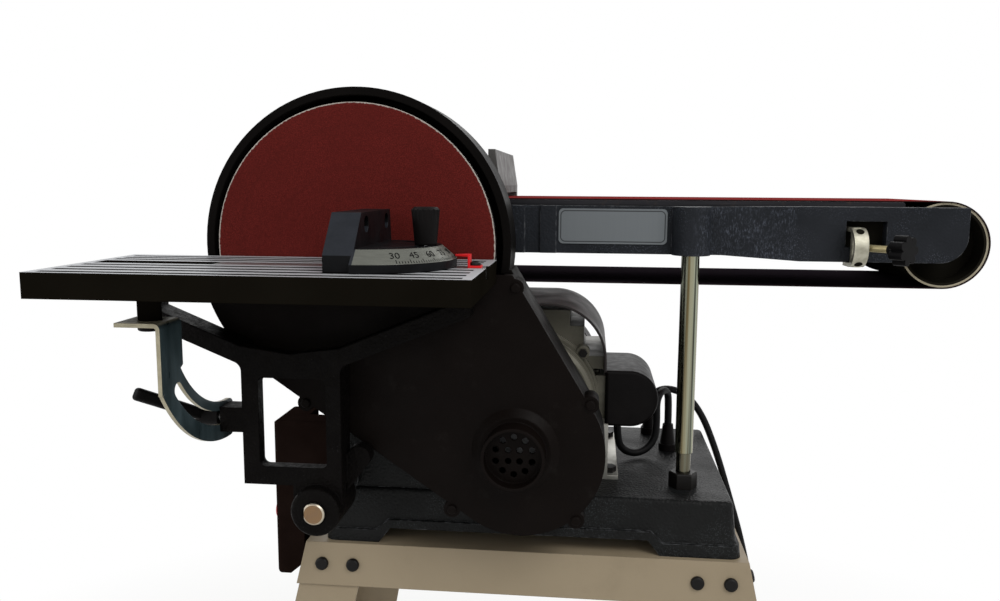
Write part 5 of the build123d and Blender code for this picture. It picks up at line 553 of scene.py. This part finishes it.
# Band along the arm where the paint is worn and carries painted glints of reflection.
ARM_WORN_AND_GLINT = (at(284.0, 0, 0).x, at(365.0, 0, 0).x)
ARM_PAINT = hammered_paint(
    "arm_paint", (0.0076, 0.0088, 0.0108), (0.0185, 0.0205, 0.0250),
    glint=(0.16, 0.18, 0.23), sparkle=0.45, depth=0.0004, worn=ARM_WORN_AND_GLINT
)
BASE_PAINT = hammered_paint(
    "base_paint", (0.0056, 0.0056, 0.0056), (0.0125, 0.0130, 0.0130),
    glint=(0.13, 0.15, 0.16), sparkle=0.40, depth=0.0010
)
GUARD = matt(
    "guard_black", (0.0028, 0.0018, 0.0014), (0.0050, 0.0032, 0.0026),
    rough=0.5, spec=0.05, edge=0.0014
)
RING = matt(
    "ring_black", (0.0026, 0.0022, 0.0020), (0.0050, 0.0043, 0.0039),
    rough=0.45, spec=0.02, edge=0.0016
)
BLACK = matt("deep_black", *DEEP_BLACK, rough=0.6, spec=0.0, edge=0.0006, grain_depth=0.0002)
BOLT = matt(
    "dark_bolt", (0.0026, 0.0022, 0.0020), (0.0075, 0.0064, 0.0056),
    rough=0.4, spec=0.16, edge=0.0006, grain=1500.0, grain_depth=0.0002
)
SHEET = matt(
    "motor_sheet", (0.020, 0.0172, 0.0170), (0.036, 0.0315, 0.031),
    rough=0.45, spec=0.10, edge=0.0010, grain=600.0
)
INK = matt(
    "scale_ink", grey(0.004), grey(0.008), rough=0.6, spec=0.05, edge=0.0002, grain_depth=0.0001
)
WHITE_INK = matt(
    "white_ink", (0.55, 0.55, 0.53), (0.68, 0.68, 0.66),
    rough=0.6, spec=0.1, edge=0.0002, grain_depth=0.0001
)
PLASTIC = moulded(
    "black_plastic", (0.0028, 0.0023, 0.0023), (0.0056, 0.0046, 0.0046), rough=0.42, spec=0.07
)
BROWN = moulded(
    "brown_plastic", (0.0092, 0.0054, 0.0044), (0.0160, 0.0096, 0.0080), rough=0.5, spec=0.0
)
RUBBER = moulded(
    "black_rubber", (0.0030, 0.0030, 0.0030), (0.0075, 0.0072, 0.0068),
    rough=0.7, spec=0.08, grain=700.0
)
CORD = moulded(
    "cord_rubber", (0.0022, 0.0022, 0.0024), (0.0052, 0.0052, 0.0056),
    rough=0.5, spec=0.12, grain=600.0
)
RED = moulded("red_plastic", (0.30, 0.006, 0.008), (0.42, 0.014, 0.014), rough=0.35, spec=0.30)
GREEN = moulded("green_plastic", (0.010, 0.12, 0.030), (0.018, 0.18, 0.045), rough=0.35, spec=0.30)
POINTER = moulded("pointer_red", (0.62, 0.010, 0.014), (0.78, 0.022, 0.024), rough=0.40, spec=0.20)
STEEL = turned_steel("turned_steel", (0.50, 0.50, 0.50), (0.26, 0.26, 0.265), rough=0.32)
# The platen's steel is given near black tones, so its front edge renders dark.
PLATEN = turned_steel(
    "platen_steel", (0.045, 0.044, 0.048), (0.012, 0.012, 0.014), rough=0.45,
    across=(20.0, 600.0, 600.0)
)
RIM = turned_steel(
    "disc_rim", (0.88, 0.87, 0.85), (0.62, 0.61, 0.60), rough=0.24, across=(30.0, 1400.0, 30.0)
)
BELL = cast_grey("bell_alloy", (0.068, 0.063, 0.046), (0.128, 0.121, 0.094), rough=0.46, metal=0.35)
ALLOY = cast_grey("drum_alloy", (0.10, 0.10, 0.102), (0.20, 0.20, 0.204), rough=0.40, metal=0.75)
STOP = cast_grey("stop_alloy", (0.052, 0.048, 0.046), (0.100, 0.094, 0.090), rough=0.5, metal=0.1)
GALVANISED = cast_grey("galvanised", (0.23, 0.225, 0.20), (0.42, 0.41, 0.37), rough=0.42, metal=0.7)

LOOKS = (
    (BASE_PAINT, ("machine_base", "spindle_pedestal")),
    (ARM_PAINT, ("belt_arm",)),
    (GUARD, ("front_cover", "cover_screws")),
    (RING, ("guard_housing",)),
    (cast_black(), ("table_bracket",)),
    (table_metal(), ("sander_table",)),
    (blue_zinc(), ("sector_plate",)),
    (post_zinc(), ("support_post",)),
    (strap_zinc(), ("tracking_yoke", "yoke_pin")),
    (powder_coat(), ("stand_rails", "stand_legs", "stand_braces")),
    (disc_abrasive(), ("sanding_disc",)),
    (belt_abrasive(), ("sanding_belt",)),
    (bar_steel(), ("table_bar",)),
    (roller_black(), ("idler_roller",)),
    (knob_plastic(), ("tracking_knob",)),
    (miter_alloy(), ("miter_head",)),
    (winding(), ("motor_stator",)),
    (BLACK, ("idler_bracket", "idler_slide")),
    (BOLT, ("stand_bolts", "machine_bolts", "post_nut")),
    (STEEL, ("spindle_shaft", "spindle_bearings", "bracket_pins", "motor_shaft", "miter_bar")),
    (PLATEN, ("platen",)),
    (RIM, ("disc_plate",)),
    (ALLOY, ("drive_drum", "spindle_pulley", "motor_pulley")),
    (BELL, ("motor_front_bell", "motor_body")),
    (SHEET, ("motor_shroud", "motor_fan_cover")),
    (GALVANISED, ("motor_cradle",)),
    (STOP, ("work_stop",)),
    (PLASTIC, ("motor_fan", "capacitor_box", "sector_bolt", "lock_lever", "miter_knob")),
    (PLASTIC, ("cord_glands", "mains_plug", "coil_tie")),
    (RUBBER, ("stand_feet", "drive_v_belt")),
    (POINTER, ("miter_pointer",)),
    (BROWN, ("switch_box",)),
    (GREEN, ("start_button",)),
    (RED, ("stop_button",)),
)
for finish, wearers in LOOKS:
    for wearer in wearers:
        nodes[wearer].data.materials.clear()
        nodes[wearer].data.materials.append(finish)


# Cords

CORD_MM = 7.4
CORD_D = CORD_MM * MM
CORD_SIDES, CORD_ORDER, CORD_STEPS = 5, 3, 8
FLOOR_Z = -887.0
GLAND_TOP = -192.3
TIE_T, TIE_GAP = 1.2, 0.6
COIL_CENTRE, COIL_R, COIL_PITCH = (354.0, 201.0), 47.0, 8.2
COIL_TURNS, COIL_START, COIL_STEPS = 3.5, radians(121.3), 16
COIL_RUN_IN, COIL_RUN_OUT = (25.4, 7.4), 7.4
COIL_FLOOR = FLOOR_Z + TIE_T + TIE_GAP + CORD_MM / 2
LEAD_ROUTE = [
    (219.0, 150.0, -174.0), (219.0, 150.0, -199.2), (226.5, 153.5, -210.4),
    (238.5, 159.0, -214.7), (250.5, 164.5, -210.4), (258.0, 168.0, -199.2),
    (258.7, 168.8, -182.0), (257.9, 167.9, -164.5), (260.7, 172.6, -157.1),
    (265.0, 180.0, -154.3), (269.3, 187.4, -157.1), (272.0, 192.0, -164.5),
    (272.0, 192.0, GLAND_TOP)
]
MAINS_ROUTE = [
    (257.0, 249.0, GLAND_TOP), (257.0, 249.0, -184.0), (260.5, 249.4, -176.0),
    (267.5, 250.4, -170.5), (277.0, 252.2, -169.5), (289.0, 254.8, -173.0),
    (303.0, 259.0, -183.0), (317.0, 266.0, -204.0), (329.0, 275.5, -232.0),
    (340.0, 283.0, -262.0), (352.0, 287.5, -300.0), (366.0, 290.0, -345.0),
    (379.0, 290.5, -398.0), (389.5, 290.0, -455.0), (396.0, 289.0, -520.0),
    (399.5, 287.5, -590.0), (400.5, 286.0, -665.0), (399.5, 285.0, -738.0),
    (397.0, 283.0, -800.0), (388.0, 277.5, -846.0), (372.0, 267.5, -873.0)
]


def coil_place(angle, radius, height):
    """Point round the coil's centre."""
    return Vector(
        (COIL_CENTRE[0] + radius * cos(angle), COIL_CENTRE[1] + radius * sin(angle), height)
    )


def coil_heading(angle):
    """Direction in which the coil runs there."""
    return Vector((-sin(angle), cos(angle), 0))


def coil_points():
    """Route of the put away length: inwards on the floor, up a layer and outwards again."""
    begin = coil_place(COIL_START, COIL_R, COIL_FLOOR)
    points = [begin - coil_heading(COIL_START) * run for run in COIL_RUN_IN]
    for i in range(int(COIL_TURNS * COIL_STEPS) + 1):
        turns = i / COIL_STEPS
        radius = COIL_R - COIL_PITCH * min(turns, COIL_TURNS - turns)
        climb = min(max((turns - COIL_TURNS / 2) * 2 + 0.5, 0), 1)
        height = COIL_FLOOR + COIL_PITCH * climb ** 2 * (3 - 2 * climb)
        points.append(coil_place(COIL_START + 2 * pi * turns, radius, height))
    last = COIL_START + 2 * pi * COIL_TURNS
    points.append(points[-1] + coil_heading(last) * COIL_RUN_OUT)
    return [tuple(point) for point in points]


def cord_curve(name, route):
    """Smooth round cord with the route's points as its control points."""
    data = bpy.data.curves.new(name, "CURVE")
    data.dimensions = "3D"
    data.bevel_depth = CORD_D / 2
    data.bevel_resolution = CORD_SIDES
    data.use_fill_caps = True
    spline = data.splines.new("NURBS")
    spline.points.add(len(route) - 1)
    for control, point in zip(spline.points, route):
        control.co = (*at(*point), 1)
    spline.order_u = CORD_ORDER
    spline.use_endpoint_u = True
    spline.resolution_u = CORD_STEPS
    data.materials.append(CORD)
    made = placed(name, data)
    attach(made, "frame")
    return made


lead = cord_curve("motor_lead_cord", LEAD_ROUTE)
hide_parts("motor_lead")
mains = cord_curve("mains_lead_cord", MAINS_ROUTE + coil_points())
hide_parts("mains_cord", "mains_coil")


# Floor and light

def larger(tree, a, b):
    """The larger of two values."""
    made = tree.nodes.new("ShaderNodeMath")
    made.operation = "MAXIMUM"
    tree.links.new(a, made.inputs[0])
    tree.links.new(b, made.inputs[1])
    return made.outputs[0]


def white_background(tree, white_out, dim_out):
    """Plain white for what camera, mirror and glass rays see: their share, and the mix to feed."""
    path = tree.nodes.new("ShaderNodeLightPath")
    seen = larger(tree, path.outputs["Is Camera Ray"], path.outputs["Is Glossy Ray"])
    seen = larger(tree, seen, path.outputs["Is Transmission Ray"])
    mixer = tree.nodes.new("ShaderNodeMixShader")
    tree.links.new(dim_out, mixer.inputs[1])
    tree.links.new(white_out, mixer.inputs[2])
    return seen, mixer


WHITE = (1, 1, 1, 1)
WORLD_TINT, WORLD_LEVEL = (1, 0.99, 0.97, 1), 0.55
world = bpy.data.worlds.new("studio")
world.use_nodes = True
bpy.context.scene.world = world
sky = world.node_tree
dim = sky.nodes["Background"]
dim.inputs["Color"].default_value = WORLD_TINT
dim.inputs["Strength"].default_value = WORLD_LEVEL
white = sky.nodes.new("ShaderNodeBackground")
white.inputs["Color"].default_value = WHITE
white.inputs["Strength"].default_value = 1.0
sky_seen, sky_mix = white_background(sky, white.outputs[0], dim.outputs[0])
sky.links.new(sky_seen, sky_mix.inputs[0])
sky.links.new(sky_mix.outputs[0], sky.nodes["World Output"].inputs["Surface"])

FLOOR_HALF = 12.0
FLOOR_FADE, FLOOR_WHITE = (0.55, 1.5), (0.35, 1.0)
FLOOR_CORNERS = ((-1, -1), (1, -1), (1, 1), (-1, 1))
floor_points = [(x * FLOOR_HALF, y * FLOOR_HALF, 0) for x, y in FLOOR_CORNERS]
floor_mesh = bpy.data.meshes.new("floor")
floor_mesh.from_pydata(floor_points, [], [(0, 1, 2, 3)])
floor = placed("floor", floor_mesh)
pale = Paint("pale_floor", rough=0.9, spec=0.1)
pale.set("Base Color", (0.86, 0.86, 0.85))
glow = pale.tree.nodes.new("ShaderNodeEmission")
glow.inputs["Color"].default_value = WHITE
floor_seen, floor_mix = white_background(pale.tree, glow.outputs[0], pale.shader.outputs[0])
floor_far = pale.node("ShaderNodeVectorMath", {0: pale.place}, out=1, operation="LENGTH")
floor_share = pale.times(floor_seen, pale.span(floor_far, *FLOOR_FADE, *FLOOR_WHITE))
pale.put(floor_mix.inputs[0], floor_share)
pale.put(pale.tree.nodes["Material Output"].inputs["Surface"], floor_mix.outputs[0])
floor_mesh.materials.append(pale.mat)

LAMP_AIM = Vector((0.0, 0.0, 0.8))
LAMPS = (
    ("key", (1.3, -1.5, 2.6), (1.4, 1.4), 34.0),
    ("fill", (-1.9, -1.2, 1.7), (1.6, 1.6), 14.0),
    ("rear", (0.2, 2.1, 2.3), (1.8, 1.0), 22.0),
)
for lamp_name, lamp_place, lamp_size, power in LAMPS:
    lamp_data = bpy.data.lights.new(lamp_name, "AREA")
    lamp_data.shape = "RECTANGLE"
    lamp_data.size, lamp_data.size_y = lamp_size
    lamp_data.energy = power
    lamp = placed(lamp_name, lamp_data)
    lamp.location = lamp_place
    beam = (LAMP_AIM - Vector(lamp_place)).normalized()
    lamp.rotation_euler = beam.to_track_quat("-Z", "Y").to_euler()


# Added pieces

def piece(name, shape, material, body):
    """Puts a shape into the scene as a piece that rides on a body."""
    mesh = bpy.data.meshes.new(name)
    shape.to_mesh(mesh)
    shape.free()
    mesh.materials.append(material)
    made = placed(name, mesh)
    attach(made, body)


def loft(shape, rings):
    """Joins rings of corners into a solid with flat ends."""
    count = len(rings[0])
    corners = [[shape.verts.new(point) for point in ring] for ring in rings]
    for low, high in zip(corners, corners[1:]):
        for i in range(count):
            j = (i + 1) % count
            shape.faces.new((low[i], low[j], high[j], high[i]))
    shape.faces.new(corners[0][::-1])
    shape.faces.new(corners[-1])
    bmesh.ops.recalc_face_normals(shape, faces=shape.faces)


def turned(place, axis, profile, steps=20):
    """Turned form about an axis, from (radius, height) points in millimetres."""
    side = axis.orthogonal().normalized()
    other = axis.cross(side)
    angles = [2 * pi * i / steps for i in range(steps)]
    outs = [side * cos(angle) + other * sin(angle) for angle in angles]
    shape = bmesh.new()
    loft(shape, [[place + (out * r + axis * h) * MM for out in outs] for r, h in profile])
    return shape


# Name plate

PLATE_X, PLATE_Z, PLATE_HALF, PLATE_CORNER = 208.5, 14.0, (47.5, 15.5), 4.0
PLATE_T, PLATE_BEVEL, CORNER_STEPS = 0.8, 0.2, 6
PLATE_LINE_INSET, PLATE_LINE_EDGE = 2.0, (0.54 * MM, 0.36 * MM)
ARM_FACE = 86.0


def plate_grey():
    """Anodised plate with a thin dark line along its edge."""
    p = Paint("plate_grey", rough=0.4, metal=0.3, spec=0.2)
    px, _, pz = p.split(p.place)
    middle = at(PLATE_X, 0, PLATE_Z)
    past = []
    for value, centre, half in zip((px, pz), (middle.x, middle.z), PLATE_HALF):
        core = (half - PLATE_LINE_INSET - PLATE_CORNER) * MM
        past.append(p.calc("MAXIMUM", p.calc("SUBTRACT", p.off(value, centre), core), 0.0))
    line = p.span(p.off(p.length(*past), PLATE_CORNER * MM), *PLATE_LINE_EDGE)
    tone = p.blend(p.streaks((900.0, 20.0, 20.0)), (0.128, 0.141, 0.150), (0.140, 0.153, 0.162))
    p.set("Base Color", p.blend(line, tone, (0.030, 0.031, 0.034)))
    p.bumps(p.noise(800.0, 2.0), 0.1, 0.0002)
    return p.mat


def plate_outline():
    """Corner points of the plate's rounded rectangle about its middle."""
    points = []
    core_w, core_h = (half - PLATE_CORNER for half in PLATE_HALF)
    for side_x, side_z, start in ((1, 1, 0), (-1, 1, 90), (-1, -1, 180), (1, -1, 270)):
        for i in range(CORNER_STEPS + 1):
            angle = radians(start + 90 * i / CORNER_STEPS)
            out = Vector((cos(angle), sin(angle))) * PLATE_CORNER
            points.append(Vector((side_x * core_w, side_z * core_h)) + out)
    return points


def name_plate():
    """Bare name plate on the arm, its front edge broken."""
    front = ARM_FACE - PLATE_T
    rings = []
    for y, inset in ((ARM_FACE, 0.0), (front + PLATE_BEVEL, 0.0), (front, PLATE_BEVEL)):
        ring = [point - point.normalized() * inset for point in plate_outline()]
        rings.append([at(PLATE_X + point.x, y, PLATE_Z + point.y) for point in ring])
    shape = bmesh.new()
    loft(shape, rings)
    piece("name_plate", shape, plate_grey(), "arm")


# Lettering

CAP_SHARE = 0.69
LETTER_RAISE, LETTER_WELD, LETTER_STEPS = 0.08 * MM, 0.001 * MM, 4


def lettering(name, words, height, place, across, upwards, material, body):
    """Raised figures or letters of a height in millimetres, their foot's middle at the place."""
    data = bpy.data.curves.new(name, "FONT")
    data.body = words
    data.size = height * MM / CAP_SHARE
    data.align_x = "CENTER"
    data.extrude = LETTER_RAISE
    data.resolution_u = LETTER_STEPS
    text_object = placed(name + "_text", data)
    outline_mesh = bpy.data.meshes.new_from_object(text_object)
    shape = bmesh.new()
    shape.from_mesh(outline_mesh)
    bmesh.ops.remove_doubles(shape, verts=shape.verts, dist=LETTER_WELD)
    axes = Matrix((across, upwards, across.cross(upwards))).transposed().to_4x4()
    bmesh.ops.transform(shape, matrix=Matrix.Translation(place) @ axes, verts=shape.verts)
    bpy.data.objects.remove(text_object)
    bpy.data.curves.remove(data)
    bpy.data.meshes.remove(outline_mesh)
    piece(name, shape, material, body)


# Scale on the miter head's bevel

PIVOT_X, PIVOT_Y, HEAD_BASE = 31.0, -66.0, -9.05
HEAD_R, HEAD_H, BEVEL_H, BEVEL_W = 62.0, 15.5, 9.5, 11.0
BEVEL_L = (BEVEL_H ** 2 + BEVEL_W ** 2) ** 0.5
BEVEL_OUT, BEVEL_UP = BEVEL_H / BEVEL_L, BEVEL_W / BEVEL_L
SCALE_SPAN, SCALE_STEP, SCALE_LONG = 60, 2, 10
TICK_FOOT, TICK_SHORT, TICK_LONG = 0.8, 2.8, 4.2
TICK_HALF, TICK_LIFTS = radians(0.28), (-0.05, 0.08)
FIGURE_STEP, FIGURE_H, FIGURE_FOOT, FIGURE_LIFT = 15, 5.4, 5.6, 0.05


def on_bevel(angle, rise, lift):
    """Point on the bevel: turned from the bar, so far up from its lower edge and off its face."""
    radius = HEAD_R - rise * BEVEL_UP + lift * BEVEL_OUT
    height = HEAD_BASE + HEAD_H - BEVEL_H + rise * BEVEL_OUT + lift * BEVEL_UP
    return at(PIVOT_X + radius * cos(angle), PIVOT_Y + radius * sin(angle), height)


def scale_ticks():
    """Degree lines along the bevel's lower edge."""
    shape = bmesh.new()
    for degree in range(-SCALE_SPAN, SCALE_SPAN + 1, SCALE_STEP):
        top = TICK_LONG if degree % SCALE_LONG == 0 else TICK_SHORT
        before, after = radians(degree) - TICK_HALF, radians(degree) + TICK_HALF
        corners = ((before, TICK_FOOT), (after, TICK_FOOT), (after, top), (before, top))
        loft(shape, [[on_bevel(*corner, lift) for corner in corners] for lift in TICK_LIFTS])
    piece("miter_scale_ticks", shape, INK, "miter_fence")


def scale_figures():
    """Angles of the fence, reading from the outside."""
    for degree in range(-SCALE_SPAN, SCALE_SPAN + 1, FIGURE_STEP):
        angle = radians(degree)
        out = Vector((cos(angle), sin(angle), 0))
        across = Vector((-sin(angle), cos(angle), 0))
        upwards = out * -BEVEL_UP + Vector((0, 0, BEVEL_OUT))
        side = "near" if degree < 0 else "far"
        figure = 90 - abs(degree)
        foot = on_bevel(angle, FIGURE_FOOT, FIGURE_LIFT)
        lettering(f"miter_figure_{figure}_{side}", str(figure), FIGURE_H, foot, across, upwards,
                  INK, "miter_fence")


# Small fittings and the switch's words

POINTER_SCREW = at(107.2, PIVOT_Y, -7.75)
SCREW_PROFILE = (
    (3.9, -0.1), (4.1, 0.5), (3.9, 1.7), (3.0, 2.5), (1.7, 2.7), (1.6, 1.3), (0.3, 1.1)
)
HOLE_SHADE_PROFILE = ((3.3, -0.8), (3.3, 0.06), (3.0, 0.14), (2.6, 0.10), (0.4, 0.05))
HOLE_SHADE_LEAN = radians(56.0)
SWITCH_X, SWITCH_Y, WORD_H = -95.0, 81.0, 6.0
SWITCH_WORDS = (("switch_word_on", "ON", -201.0), ("switch_word_off", "OFF", -279.0))


def small_fittings():
    """Screw of the pointer, and two black discs on the tracking yoke: painted shade standing in for
    its two dark holes.
    """
    screw = turned(POINTER_SCREW, Vector((0, 0, 1)), SCREW_PROFILE)
    piece("pointer_screw", screw, BOLT, "miter")
    # Painted shade: thin black discs where the yoke's holes look dark.
    for name, side in (("yoke_hole_shade_upper", 1), ("yoke_hole_shade_lower", -1)):
        out = Vector((0, -cos(HOLE_SHADE_LEAN), side * sin(HOLE_SHADE_LEAN)))
        hole_shade = turned(at(*(Vector(YOKE) + out * YOKE_R)), out, HOLE_SHADE_PROFILE)
        piece(name, hole_shade, BLACK, "arm")


def switch_words():
    """Words beside the two buttons, on the box's left side."""
    across, upwards = Vector((0, -1, 0)), Vector((0, 0, 1))
    for name, word, z in SWITCH_WORDS:
        lettering(name, word, WORD_H, at(SWITCH_X, SWITCH_Y, z), across, upwards, WHITE_INK,
                  "frame")


scale_ticks()
scale_figures()
small_fittings()
switch_words()
name_plate()
